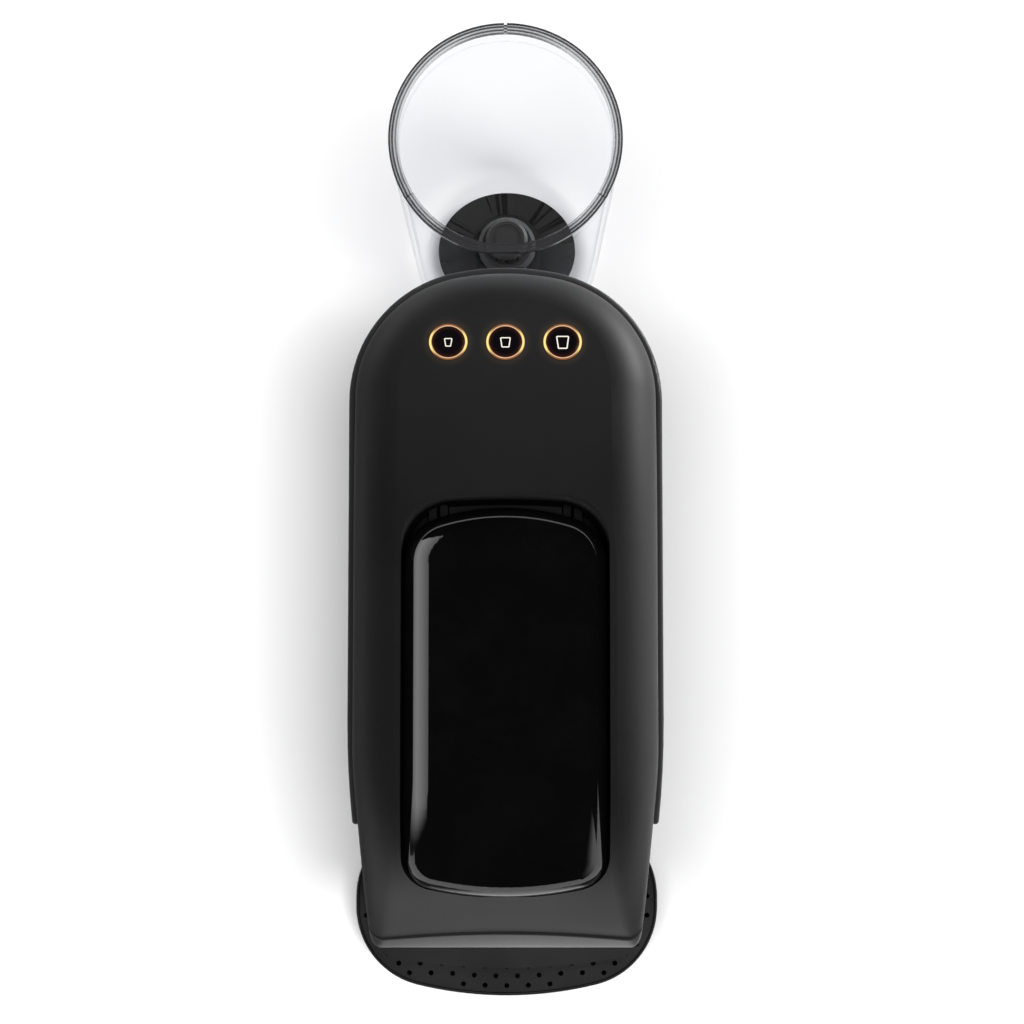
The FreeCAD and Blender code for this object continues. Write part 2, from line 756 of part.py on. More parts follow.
def make_brew_frame():
    half = d.frame_inside
    outer = d.frame_inside + d.frame_thick
    slot = d.follower_radius + d.slot_gap
    solids, holes = [], []
    for side, low, high in (("left", -outer, -half), ("right", half, outer)):
        solids.append(box("frame_wall_" + side, (low, d.frame_front, d.shelf_top),
                          (high, d.frame_rear, d.frame_top)))
        neck_low = (low, d.pivot_y - d.boss_radius - 2, d.frame_top - 5)
        solids.append(box("frame_neck_" + side, neck_low, (high, d.pivot_y - d.neck_clear, d.pivot_z)))
        solids.append(cylinder(
            "frame_boss_" + side, "x", (low, d.pivot_y, d.pivot_z), d.boss_radius, d.frame_thick))
    for number, low, high in ((1, -(outer + 10), -half), (2, half, outer + 10)):
        solids.append(box(f"frame_flange_{number}", (low, d.frame_front, d.shelf_top),
                          (high, d.frame_rear, d.shelf_top + 3)))
    solids.append(box("frame_back", (-half, d.frame_rear - 3, d.shelf_top),
                      (half, d.frame_rear, d.frame_top - 11)))
    start = -outer - 1
    span = outer * 2 + 2
    holes.append(cylinder("frame_pin_bore", "x", (start, d.pivot_y, d.pivot_z), d.pin_radius, span))
    low_z = follower_z() - slot
    holes.append(box("frame_track", (start, follower_y(), low_z),
                     (outer + 1, follower_y() + d.brew_travel, low_z + slot * 2)))
    for number, shift in ((1, 0), (2, d.brew_travel)):
        holes.append(cylinder(f"frame_track_end_{number}", "x",
                              (start, follower_y() + shift, follower_z()), slot, span))
    holes.append(cylinder("frame_sleeve_bore", "y", (0, d.frame_rear - 4, d.brew_height), 8, 5))
    for number, x in ((1, -d.rod_x), (2, d.rod_x)):
        place = (x, d.frame_rear - 4, d.rod_z)
        holes.append(cylinder(f"frame_rod_bore_{number}", "y", place, d.rod_radius, 5))
    return keep(cut("brew_frame", fuse("frame_solids", *solids), *holes))


def make_guide_rods():
    front = d.frame_front + 6
    rods = [cylinder(f"guide_rod_{n}", "y", (x, front, d.rod_z), d.rod_radius, d.frame_rear - front)
            for n, x in ((1, -d.rod_x), (2, d.rod_x))]
    return keep(group("guide_rods", *rods))


def make_capsule_cage():
    rear = d.cage_front + d.cage_length
    solids = [cylinder("cage_drum", "y", (0, d.cage_front, d.brew_height), d.cage_radius, d.cage_length)]
    holes = [
        cylinder("cage_hollow", "y", (0, d.cage_front - 1, d.brew_height), d.cage_bore,
                 d.cage_length - d.cage_end + 1),
        cylinder("cage_inlet", "y", (0, d.cage_front, d.brew_height), 2, d.cage_length + 1),
    ]
    reach = d.frame_inside - 0.4
    top = d.well_floor - d.cover_wall - 0.6
    for side, sign in (("left", -1), ("right", 1)):
        lug = (d.rod_x - 4.2, reach) if sign > 0 else (-reach, -(d.rod_x - 4.2))
        ear = (reach - 10, reach) if sign > 0 else (-reach, -(reach - 10))
        solids.append(box("cage_lug_" + side, (lug[0], d.cage_front + 6, d.rod_z - 4),
                          (lug[1], rear - 4, d.rod_z + 6)))
        solids.append(box("cage_ear_" + side, (ear[0], follower_y() - 6, d.brew_height + 7),
                          (ear[1], follower_y() + 6, top)))
        holes.append(cylinder("cage_rod_bore_" + side, "y", (d.rod_x * sign, d.cage_front, d.rod_z),
                              d.rod_radius + d.running_gap, d.cage_length))
        start = reach - 5.6 if sign > 0 else -(reach + 1)
        holes.append(cylinder("cage_pin_bore_" + side, "x", (start, follower_y(), follower_z()),
                              d.follower_radius, 6.6))
    return keep(cut("capsule_cage", fuse("cage_solids", *solids), *holes))


def make_follower_pins():
    reach = d.cam_inside + d.cam_thick - 0.2
    inner = d.frame_inside - 6
    length = reach - inner
    pins = [cylinder(f"follower_pin_{n}", "x", (x, follower_y(), follower_z()), d.follower_radius, length)
            for n, x in ((1, -reach), (2, inner))]
    return keep(group("follower_pins", *pins))


def make_injection_needles():
    floor = d.cage_front + d.cage_length - d.cage_end
    needles = []
    for number in range(3):
        turn = math.radians(90 + 120 * number)
        item = doc.addObject("Part::Cone", f"needle_{number + 1}")
        item.Placement = Placement(Vector(), Rotation(Vector(1, 0, 0), 90))
        item.Radius1 = 1.3
        item.Radius2 = 0.2
        bind(item, "Height", d.cage_end + 2)
        needles.append(locate(item, 7 * math.cos(turn), floor, d.brew_height + 7 * math.sin(turn)))
    return keep(group("injection_needles", *needles))


def ring(name, axis, start, inside, outside, length):
    outer = cylinder(name + "_outside", axis, start, outside, length)
    inner = cylinder(name + "_inside", axis, start, inside, length)
    return keep(cut(name, outer, inner))


def make_feed():
    rear = d.cage_front + d.cage_length
    ring("brew_seal", "y", (0, d.cage_front - 0.8, d.brew_height), d.cage_bore + 1, d.cage_radius - 1, 0.8)
    ring("feed_tube", "y", (0, rear, d.brew_height), 2, 4, 34)
    back = d.frame_rear
    solids = [
        cylinder("sleeve_barrel", "y", (0, back - 17, d.brew_height), 8, 39),
        cylinder("sleeve_flange", "y", (0, back - 6.5, d.brew_height), 11, 3.5),
        cylinder("sleeve_spigot", "y", (0, back + 22, d.brew_height), 3.3, 9),
    ]
    holes = [
        cylinder("sleeve_bore", "y", (0, back - 18, d.brew_height), d.running_gap + 4, 37),
        cylinder("sleeve_outlet", "y", (0, back, d.brew_height), 1.5, 40),
    ]
    keep(cut("feed_sleeve", fuse("sleeve_solids", *solids), *holes))


def make_extraction_head():
    """Perforated plate that the capsule is pressed against, with the coffee chamber behind it."""
    body = new_body("extraction_head")
    face = -d.cage_front + 1.1
    back = -d.frame_front
    half = d.frame_inside
    low = float(d.shelf_top) + 4
    high = float(d.frame_top) - 4
    pad(body, circle(body, "XZ_Plane", 0, d.brew_height, d.cage_radius, face), back - 6 - face)
    block = polygon((-half, low), (half, low), (half, high), (-half, high))
    pad(body, sketch(body, "XZ_Plane", block, back - 6), 6)
    pocket(body, circle(body, "XZ_Plane", 0, d.brew_height, 12, back - 5), 6)
    pocket(body, circle(body, "XZ_Plane", 0, d.brew_height, 0.9, face), 10)
    axis = body.newObject("PartDesign::Line", "extraction_axis")
    axis.Placement = Placement(point(0, 0, d.brew_height), Rotation(Vector(1, 0, 0), 90))
    for count, radius in ((6, 4.5), (12, 9)):
        first = pocket(body, circle(body, "XZ_Plane", 0, d.brew_height + radius, 0.9, face), 10)
        turn = body.newObject("PartDesign::PolarPattern", f"extraction_holes_{count}")
        turn.Originals = [first]
        turn.Axis = (axis, [""])
        turn.Angle = 360
        turn.Occurrences = count
        body.Tip = turn
        doc.recompute()
    return keep(body)


def make_coffee_path():
    """Channel from the extraction head to the spout, the spout, and the floor of the nose that holds it."""
    y = float(d.spout_y)
    start = float(d.frame_front)
    height = float(d.brew_height)
    bore = float(d.spout_bore)
    low = float(d.head_floor)
    flange = low + 3
    path = [(0, start, height), (0, y + 12, height), (0, y, flange + 18), (0, y, flange + 11)]
    hose("coffee_channel", path, bore + 2, 8, bore)
    nozzle = turned("spout_nozzle", (
        (bore, flange + 11), (8, flange + 11), (8, flange + 2), (13, flange + 2), (13, flange), (8.8, flange),
        (8.8, low - 1), (7, low - 6), (bore + 1, low - 6), (bore, low)))
    bind(nozzle, "Placement.Base.y", d.spout_y)
    keep(nozzle)
    fit = cover_block("head_floor_edge", float(d.cover_wall) + 0.12, float(d.nose_bottom) - 20)
    reach = 2 * float(d.nose_radius)
    rear = float(d.body_front) + 2
    half = float(d.body_width)
    floor = fit.Shape.common(Part.makeBox(2 * half, reach, flange - low, Vector(-half, rear - reach, low)))
    keep(feature("head_floor", floor.cut(Part.makeCylinder(8.8, 50, Vector(0, y, low - 10)))))


def make_capsule_way():
    """Guide under the lever recess and chute over the bin."""
    front = d.slot_front
    rear = d.slot_front + d.slot_length
    top = d.recess_floor - d.cover_wall
    half = d.slot_width / 2
    outer = box("guide_outside", (-half - 2, front - 2, top - 12), (half + 2, rear + 2, top))
    inner = box("guide_inside", (-half, front, top - 13), (half, rear, top + 1))
    keep(cut("capsule_guide", outer, inner))
    wide = d.frame_inside - 0.3
    low = d.shelf_top - 16
    outer = box("chute_outside", (-wide, front - 6, low), (wide, rear + 8, d.shelf_top + 4))
    inner = box("chute_inside", (-wide + 2, front - 4, low - 1), (wide - 2, rear + 6, d.shelf_top + 5))
    keep(cut("capsule_chute", outer, inner))


def make_chassis():
    """Moulded inner frame: bin bay, bulkhead and the shelf that carries the brew unit and heater."""
    top = d.shelf_top
    under = d.shelf_top - 4
    bay = d.bin_width / 2 + 1
    front = d.body_front + 5
    back = d.bin_rear + 1.4
    wide = d.body_width / 2 - d.shell_wall - d.shell_tuck
    solids = [
        box("chassis_shelf", (-wide, front, under), (wide, 0, top)),
        box("chassis_shelf_rear", (-45, 0, under), (45, 78, top)),
        box("chassis_bulkhead", (-wide + 3, back, d.base_floor), (wide - 3, back + 2.6, under)),
    ]
    for side, low, high in (("left", -(bay + 2.5), -bay), ("right", bay, bay + 2.5)):
        solids.append(box("chassis_wall_" + side, (low, front, d.base_floor), (high, back, under)))
    for side, low, high in (("left", -bay, -(bay - 5.5)), ("right", bay - 5.5, bay)):
        solids.append(box("chassis_ledge_" + side, (low, front, d.bin_bottom - 4.4),
                          (high, back, d.bin_bottom - 0.4)))
    wide = d.frame_inside - 0.3
    rear = d.slot_front + d.slot_length + 8
    hole = box("chassis_hole", (-wide, d.slot_front - 6, under - 1), (wide, rear, top + 1))
    return keep(cut("chassis", fuse("chassis_solids", *solids), hole))


# Base, tray and bin

def make_base_plate():
    """Floor pan with a rim, a tongue under the drip tray and a neck under the tank dock."""
    inset = d.shell_wall + d.seam_gap
    front = d.body_front + 1
    low = d.foot_height
    body = new_body("base_plate")
    pad(body, sketch(body, "XY_Plane", column_outline(inset, front), low), d.base_rim - low)
    pocket(body, sketch(body, "XY_Plane", column_outline(inset + 3, front + 3), d.base_floor), 20)
    half = float(d.tongue_half)
    corner = float(d.tongue_corner)
    tip = float(d.tray_y - d.tongue_reach)
    tongue = [
        arc(Vector(half - corner, tip + corner), corner, 0, -90),
        line(point(half - corner, tip), point(corner - half, tip)),
        arc(Vector(corner - half, tip + corner), corner, 270, 180),
        line(point(-half, tip + corner), point(-half, front)),
        line(point(-half, front), point(half, front)),
        line(point(half, front), point(half, tip + corner)),
    ]
    pad(body, sketch(body, "XY_Plane", tongue, low), d.base_step - low)
    neck = float(d.neck_half)
    end = float(d.tank_y) + 4
    start = float(d.body_rear) - 8
    tail = [
        arc(Vector(0, end), neck, 0, 180),
        line(point(-neck, end), point(-neck, start)),
        line(point(-neck, start), point(neck, start)),
        line(point(neck, start), point(neck, end)),
    ]
    pad(body, sketch(body, "XY_Plane", tail, low), d.base_step - low)
    notch = polygon((-5, start - 6), (5, start - 6), (5, start + 6), (-5, start + 6))
    pocket(body, sketch(body, "XY_Plane", notch, d.base_step), 10)
    keep(body)


def make_feet():
    """Rubber discs under the pan, the tongue and the neck, and the heads of the pan's screws."""
    front, rear = d.body_front + 20, d.body_rear - 38
    side = d.body_width / 2 - 21.5
    inner = d.tongue_half - 18
    feet = [(-side, front), (side, front), (-side, rear), (side, rear)]
    feet += [(-inner, d.tray_y - 9.5), (inner, d.tray_y - 9.5), (0, d.tank_y + 8)]
    discs = [cylinder(f"foot_{n}", "z", (x, y, 0), d.foot_radius, d.foot_height)
             for n, (x, y) in enumerate(feet, 1)]
    keep(group("rubber_feet", *discs))
    low = d.foot_height - 1.6
    spots = [(x, y) for y in (front + 25, rear - 30) for x in (-(side - 10), side - 10)]
    heads = [cylinder(f"base_screw_{n}", "z", (x, y, low), 3, 1.6) for n, (x, y) in enumerate(spots, 1)]
    keep(group("base_screws", *heads))


def ellipse_wire(width, depth, y, z):
    curve = Part.Ellipse(point(0, y, z), float(width) / 2, float(depth) / 2)
    return Part.Wire(curve.toShape())


def make_tank_dock():
    """Oval stand for the tank, with the valve well, its opening pin and seal, and the passage to the pump."""
    y = float(d.tank_y)
    top = float(d.tank_bottom)
    low = float(d.base_step)
    half = float(d.neck_half)
    well = float(d.valve_radius) + 2
    supply = float(d.supply_z)
    block = Part.makeLoft([
        ellipse_wire(d.dock_width - 7, d.dock_depth - 7, y, low),
        ellipse_wire(d.dock_width, d.dock_depth, y, top)], True)
    start = float(d.body_rear) - 3.2
    block = block.fuse(Part.makeBox(2 * half, y - start, 12, Vector(-half, start, low)))
    block = block.cut(Part.makeCylinder(well, top, Vector(0, y, low + 6)))
    for inside in (well + 3, well + 7):
        groove = Part.makeCylinder(inside + 1.2, 5, Vector(0, y, top - 0.8))
        block = block.cut(groove.cut(Part.makeCylinder(inside, 5, Vector(0, y, top - 0.8))))
    bore = float(d.hose_radius) + 0.3
    passage = Part.makeCylinder(bore, y - well - start + 2, Vector(0, start - 1, supply), Vector(0, 1, 0))
    keep(feature("tank_dock", block.cut(passage)))
    keep(cylinder("dock_pin", "z", (0, d.tank_y, d.base_step + 6), 1.5, d.pin_top - d.base_step - 6))
    seal = d.valve_radius
    ring("dock_seal", "z", (0, d.tank_y, d.tank_bottom - 6), seal + 0.4, seal + 1.9, 2)


def make_front_fascia():
    """Panel under the bin with a bridge that the drip tray slides up to."""
    wide = d.body_width / 2 - d.shell_wall - d.shell_tuck - d.seam_gap
    front = d.body_front + 0.4
    plate = box("fascia_plate", (-wide, front, d.base_rim), (wide, front + 4.4, d.bin_bottom - 0.8))
    half = d.tongue_half - 2
    bridge = box("fascia_bridge", (-half, d.body_front - 21, d.base_step), (half, front, d.tray_top - 3.5))
    clear = feature("fascia_clearance", prism(tray_outline(-0.6), 0, 60))
    return keep(cut("front_fascia", fuse("fascia_solids", plate, bridge), clear))


def make_drip_tray():
    """Oval dish with a thin rim, a step that carries the grid and a channel below for the base tongue."""
    body = new_body("drip_tray")
    low = d.foot_height - 1
    floor = d.base_step + 3.5
    pad(body, sketch(body, "XY_Plane", tray_outline(0), low), d.tray_top - low)
    pocket(body, sketch(body, "XY_Plane", tray_outline(float(d.tray_rim)), d.grid_bottom), 20)
    pocket(body, sketch(body, "XY_Plane", tray_outline(float(d.tray_wall)), floor), d.grid_bottom - floor)
    half = float(d.tongue_half) + 0.6
    tip = float(d.tray_y - d.tongue_reach) - 0.7
    under = polygon((-half, tip), (half, tip), (half, tip + 100), (-half, tip + 100))
    pocket(body, sketch(body, "XY_Plane", under, 0), d.base_step + 0.4)
    doc.recompute()
    rim = doc.addObject("Part::Fillet", "drip_tray_rounded")
    rim.Base = body
    top = float(d.tray_top) - 1e-3
    rim.Edges = [(n, 0.5, 0.5) for n, edge in enumerate(body.Shape.Edges, 1) if edge.BoundBox.ZMin > top]
    doc.recompute()
    body.Label = "drip_tray_dish"
    rim.Label = "drip_tray"
    return keep(rim)


def platform_outline():
    """Plan of the raised cup platform in the middle of the grid."""
    middle, reach = float(d.tray_y), float(d.platform_reach)
    half, bow, corner = d.platform_half, d.platform_bow, d.platform_corner
    front, low = bowed_end(half, middle - reach, bow, corner, -1)
    rear, high = bowed_end(half, middle + reach, bow, corner, 1)
    return front + rear + [
        line(point(half, low), point(half, high)),
        line(point(-half, low), point(-half, high)),
    ]


def make_drip_grid():
    """Plate with staggered drain holes and a raised cup platform that covers the middle of them."""
    edge = float(d.tray_rim) + 0.3
    body = new_body("drip_grid")
    pad(body, sketch(body, "XY_Plane", tray_outline(edge), d.grid_bottom), d.grid_thick)
    rows = int(float(d.tray_depth / d.hole_row))
    columns = int(float(d.tray_width / 2 / d.hole_pitch)) + 1
    front = float(d.tray_y - d.tray_depth / 2 + d.hole_edge)
    radius = float(d.hole_radius)
    outer = Part.Face(wire(tray_outline(edge + 2)))
    inner = Part.Face(wire(platform_outline()))
    holes = []
    for row in range(rows):
        for column in range(-columns, columns + 1):
            x = (column + (row % 2) / 2) * float(d.hole_pitch)
            bend = min(x * x / 2 / float(d.row_bow), float(d.row_bend))
            spot = point(x, front + row * float(d.hole_row) + bend)
            inset = inner.OuterWire.distToShape(Part.Vertex(spot))[0]
            covered = inner.isInside(spot, 1e-6, True) and inset > 0.7 * radius
            if outer.isInside(spot, 1e-6, True) and not covered:
                holes.append(Part.Circle(spot, Vector(0, 0, 1), radius))
    pocket(body, sketch(body, "XY_Plane", holes, 0), 60)
    pad(body, sketch(body, "XY_Plane", platform_outline(), d.grid_bottom), d.grid_thick + d.platform_rise)
    return keep(body)


def make_capsule_bin():
    """Open box for used capsules with a front plate and a finger notch."""
    half = d.bin_width / 2
    front = d.body_front + 3.5
    plate = d.body_width / 2 - d.shell_wall - d.shell_tuck - d.seam_gap * 2
    wall = d.bin_wall
    solids = [
        box("bin_box", (-half, front, d.bin_bottom), (half, d.bin_rear, d.bin_top)),
        box("bin_front", (-plate, front - 3.1, d.bin_bottom), (plate, front, d.bin_top + 4)),
    ]
    holes = [
        box("bin_hollow", (-half + wall, front + wall, d.bin_bottom + wall),
            (half - wall, d.bin_rear - wall, d.bin_top + 9)),
        cylinder("bin_finger", "y", (0, front - 10, d.bin_top + 8), 15, 10),
    ]
    return keep(cut("capsule_bin", fuse("bin_solids", *solids), *holes))


# Water tank

def make_water_tank():
    """Clear cylinder with a thick rim band, a small flat on the rim and three notches."""
    low, top = float(d.tank_bottom), float(d.tank_top)
    outer = float(d.tank_radius)
    wall = outer - 0.4
    inner = wall - float(d.tank_wall)
    lip = outer - float(d.rim_wall)
    rim = top - float(d.rim_height)
    hole = float(d.valve_radius)
    body = turned("tank_wall", (
        (hole, low), (wall - 2, low), (wall, low + 2), (wall, rim), (outer, rim + 0.6), (outer, top),
        (lip, top), (lip, rim), (inner, rim - 2), (inner, low + 5), (inner - 2, low + 3), (hole, low + 3)))
    bind(body, "Placement.Base.y", d.tank_y)
    front = d.tank_y - d.tank_radius
    below = d.tank_top - d.rim_height - 2
    cuts = [box("rim_flat", (-5.8, front - 2, below), (5.8, front + 0.7, d.tank_top + 1))]
    for number, turn in enumerate((90, 210, 330), 1):
        item = doc.addObject("Part::Box", f"rim_notch_{number}")
        bind(item, "Length", d.rim_wall + 4)
        item.Width = 1.2
        item.Height = 10
        spin = Rotation(Vector(0, 0, 1), turn)
        shift = spin.multVec(point(lip - 1, -0.6))
        item.Placement = Placement(shift + point(0, d.tank_y, top - 2.2), spin)
        cuts.append(item)
    keep(cut("water_tank", body, *cuts))


def make_tank_valve():
    """Valve in the tank floor: body, plunger that the dock pin pushes up, return spring and strainer."""
    low = float(d.tank_bottom)
    floor = low + 3
    top = floor + 13
    bore = float(d.valve_bore)
    spigot = float(d.valve_radius)
    turret = float(d.turret_radius)
    seat = low - 6
    foot = seat - 5
    valve = turned("valve_body", (
        (3, foot), (spigot, foot), (spigot, floor), (turret, floor), (turret, floor + 10), (turret - 2, top),
        (bore, top), (bore, seat), (3, seat)))
    roof = top + 13.5
    strainer = turned("strainer_cap", (
        (2.2, top), (10, top), (10, roof - 1.5), (8.5, roof), (7, roof), (7, roof - 0.9), (5.4, roof - 0.9),
        (5.4, roof), (0, roof), (0, top + 6), (2.2, top + 6)))
    tip = float(d.pin_top + d.plunger_gap)
    disc = seat + 0.3
    plunger = turned("valve_plunger", (
        (0, tip), (1.9, tip), (1.9, disc), (4.2, disc), (4.2, disc + 2), (1.9, disc + 2), (1.9, top + 2),
        (0, top + 2)))
    for item in (valve, strainer, plunger):
        bind(item, "Placement.Base.y", d.tank_y)
    keep(valve)
    keep(plunger)
    slits = []
    for number in range(12):
        spin = Rotation(Vector(0, 0, 1), 30 * number)
        item = doc.addObject("Part::Box", f"strainer_slit_{number + 1}")
        item.Length = 5
        item.Width = 1.4
        item.Height = 8
        item.Placement = Placement(spin.multVec(Vector(7.5, -0.7)) + point(0, d.tank_y, top + 2.5), spin)
        slits.append(item)
    keep(cut("tank_strainer", strainer, *slits))
    coil, wire_radius = 3.3, 0.5
    start = disc + 2 + 0.1 + wire_radius
    helix = Part.makeHelix(3.6, top - 0.1 - wire_radius - start, coil)
    section = Part.Wire(Part.makeCircle(wire_radius, Vector(coil, 0, 0), Vector(0, 1, 0)))
    spring = Part.Wire(helix).makePipeShell([section], True, True)
    keep(locate(feature("valve_spring", spring), 0, d.tank_y, start))


# Buttons

def make_buttons():
    """Three caps, square to the arched top."""
    radius = float(d.button_radius)
    for number, name in enumerate(BUTTON_NAMES):
        cap = turned(name, (
            (0, 0.45), (radius * 0.5, 0.4), (radius - 0.5, 0.2), (radius, -0.3), (radius, -2.8), (3, -2.8),
            (3, -6), (0, -6)))
        cap.Placement = button_frame(button_x(number))
        keep(cap)


def make_button_board():
    """Lit rings on one light guide, the board under it and a switch under each cap."""
    inside, outside = float(d.ring_inside), float(d.ring_outside)
    pitch = float(d.button_pitch)
    reach = pitch + 9
    depth = -10
    guide = Part.makeBox(2 * reach, 16, 1.6, Vector(-reach, -8, depth + 4))
    for number in range(3):
        guide = guide.fuse(Part.makeCylinder(outside, 4.6, Vector(button_x(number), 0, depth + 5.55)))
    for number in range(3):
        guide = guide.cut(Part.makeCylinder(inside, 20, Vector(button_x(number), 0, depth)))
    for x in (-pitch / 2, pitch / 2):
        for y in (-5.8, 5.8):
            guide = guide.fuse(Part.makeCylinder(2, 4.2, Vector(x, y, depth)))
    keep(feature("light_guide", guide)).Placement = button_frame()
    board = doc.addObject("Part::Box", "control_board")
    bind(board, "Length", (d.button_pitch + 10) * 2)
    board.Width = 24
    board.Height = 1.6
    shift = Placement(Vector(-pitch - 10, -12, depth - 1.6), Rotation())
    board.Placement = button_frame().multiply(shift)
    keep(board)
    switches = []
    for number in range(3):
        item = doc.addObject("Part::Box", f"push_switch_{number + 1}")
        item.Length = 6
        item.Width = 6
        item.Height = 2.6
        item.Placement = button_frame(button_x(number)).multiply(Placement(Vector(-3, -3, depth), Rotation()))
        switches.append(item)
    keep(group("push_switches", *switches))


# Water circuit and power

def make_pump():
    """Vibration pump: wound stack on a barrel, standing on a bracket with four rubber mounts."""
    x, z = d.pump_x, d.pump_z
    floor = d.base_floor
    ends = [
        cylinder("pump_barrel", "y", (x, 16, z), d.pump_radius, 62),
        cylinder("pump_outlet", "y", (x, 10, z), d.spigot_radius, 6),
        cylinder("pump_inlet", "y", (x, 78, z), d.spigot_radius, 6),
    ]
    bore = cylinder("pump_bore", "y", (x, 9, z), d.spigot_radius - 1.8, 80)
    keep(cut("pump_core", fuse("pump_core_solids", *ends), bore))
    stack = box("pump_stack", (x - 22, 28, floor + 18), (x + 22, 66, floor + 68))
    keep(cut("pump_coil", stack, cylinder("pump_stack_bore", "y", (x, 0, z), d.pump_radius, 100)))
    keep(box("pump_bracket", (x - 20, 26, floor + 14), (x + 20, 68, floor + 18)))
    spots = [(across, along) for along in (32, 62) for across in (-14, 14)]
    mounts = [cylinder(f"pump_mount_{n}", "z", (x + across, along, floor), 5, 14)
              for n, (across, along) in enumerate(spots, 1)]
    keep(group("pump_mounts", *mounts))


def make_heater():
    """Cast heater under the shelf with an inlet, an outlet and a thermostat on its side."""
    top = d.shelf_top - 4
    half, corner = float(d.heater_half), float(d.heater_corner)
    near, far = 30, 74
    body = new_body("heater_casting")
    outline = [
        arc(Vector(half - corner, far - corner), corner, 0, 90),
        line(point(half - corner, far), point(corner - half, far)),
        arc(Vector(corner - half, far - corner), corner, 90, 180),
        line(point(-half, far - corner), point(-half, near + corner)),
        arc(Vector(corner - half, near + corner), corner, 180, 270),
        line(point(corner - half, near), point(half - corner, near)),
        arc(Vector(half - corner, near + corner), corner, 270, 360),
        line(point(half, near + corner), point(half, far - corner)),
    ]
    pad(body, sketch(body, "XY_Plane", outline, top - d.heater_height), d.heater_height)
    keep(fuse("heater_block", body,
              cylinder("heater_inlet", "y", (-22, near - 6, top - 50), d.spigot_radius, 10),
              cylinder("heater_outlet", "y", (18, far - 4, top - 14), d.spigot_radius, 10)))
    keep(cylinder("thermostat", "x", (d.heater_half, 52, top - 34), 8, 6))


def make_water_way():
    """Flow meter on the pan and the hoses from the tank dock through pump and heater to the brew unit."""
    floor = d.base_floor
    meter_x, meter_y = float(d.meter_x), float(d.meter_y)
    supply = float(d.supply_z)
    keep(fuse("flow_meter", cylinder("meter_drum", "z", (d.meter_x, d.meter_y, floor), 13, 20),
              cylinder("meter_outlet", "z", (d.meter_x, d.meter_y, floor + 20), d.spigot_radius, 6),
              cylinder("meter_inlet", "x", (d.meter_x - 19, d.meter_y, d.supply_z), d.spigot_radius, 10)))
    radius = float(d.hose_radius)
    well = float(d.tank_y) - float(d.valve_radius) - 2
    hose("intake_hose", [(0, well, supply), (0, meter_y, supply), (meter_x - 19, meter_y, supply)], radius, 5)
    x, z = float(d.pump_x), float(d.pump_z)
    over = float(floor) + 26
    hose("suction_hose", [
        (meter_x, meter_y, over), (meter_x, meter_y, z), (meter_x, 94, z), (x, 94, z), (x, 84, z)], radius, 8)
    inlet = float(d.shelf_top) - 54
    hose("pressure_hose", [(x, 10, z), (x, 2, z), (-22, 2, inlet), (-22, 24, inlet)], radius, 7)
    outlet = inlet + 36
    height = float(d.brew_height)
    hose("brew_hose", [
        (18, 80, outlet), (18, 90, outlet), (18, 90, height), (0, 90, height),
        (0, float(d.frame_rear) + 31, height)], radius, 8)


def make_power():
    """Upright power board with its large components, and the gland that takes the cord."""
    floor = d.base_floor
    face = 48
    keep(box("power_board", (face, 4, floor), (face + 1.6, 72, floor + 110)))
    blocks = [
        box("transformer", (face - 17, 10, floor + 64), (face, 38, floor + 92)),
        box("relay", (face - 12, 44, floor + 66), (face, 60, floor + 84)),
        cylinder("capacitor", "x", (face - 18, 66, floor + 102), 5.5, 18),
    ]
    keep(group("board_components", *blocks))
    start = d.body_width / 2 - 11
    place = (start, d.gland_y, d.gland_z)
    body = fuse("gland_solids", cylinder("gland_barrel", "x", place, d.gland_radius, 14),
                cylinder("gland_flange", "x", place, d.gland_radius + 2.5, 3))
    bore = cylinder("gland_bore", "x", (start - 1, d.gland_y, d.gland_z), d.cord_radius, 16)
    keep(cut("cord_gland", body, bore))


make_top_cover()
make_spout_visor()
make_side_shell()
make_lever_shell()
make_lever_liner()
make_cam_plate("cam_plate_left", -1)
make_cam_plate("cam_plate_right", 1)
make_lever_pin()
make_brew_frame()
make_guide_rods()
make_capsule_cage()
make_follower_pins()
make_injection_needles()
make_feed()
make_extraction_head()
make_coffee_path()
make_capsule_way()
make_chassis()
make_base_plate()
make_feet()
make_tank_dock()
make_front_fascia()
make_drip_tray()
make_drip_grid()
make_capsule_bin()
make_water_tank()
make_tank_valve()
make_buttons()
make_button_board()
make_pump()
make_heater()
make_water_way()
make_power()
doc.recompute()

for item in doc.Objects:
    if "Invalid" in item.State or "Error" in item.State:
        raise RuntimeError(f"{item.Label} did not build: {item.State}")
os.makedirs("parts", exist_ok=True)
for item in made:
    if item.Shape.isNull() or not item.Shape.isValid():
        raise RuntimeError(f"{item.Label} has no valid shape")
    item.Shape.exportStep(f"parts/{item.Label}.step")
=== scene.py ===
"""Pod coffee machine: surfaces, lit cup marks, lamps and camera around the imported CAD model. Metres."""
import math

import bmesh
import bpy
from mathutils import Matrix, Vector


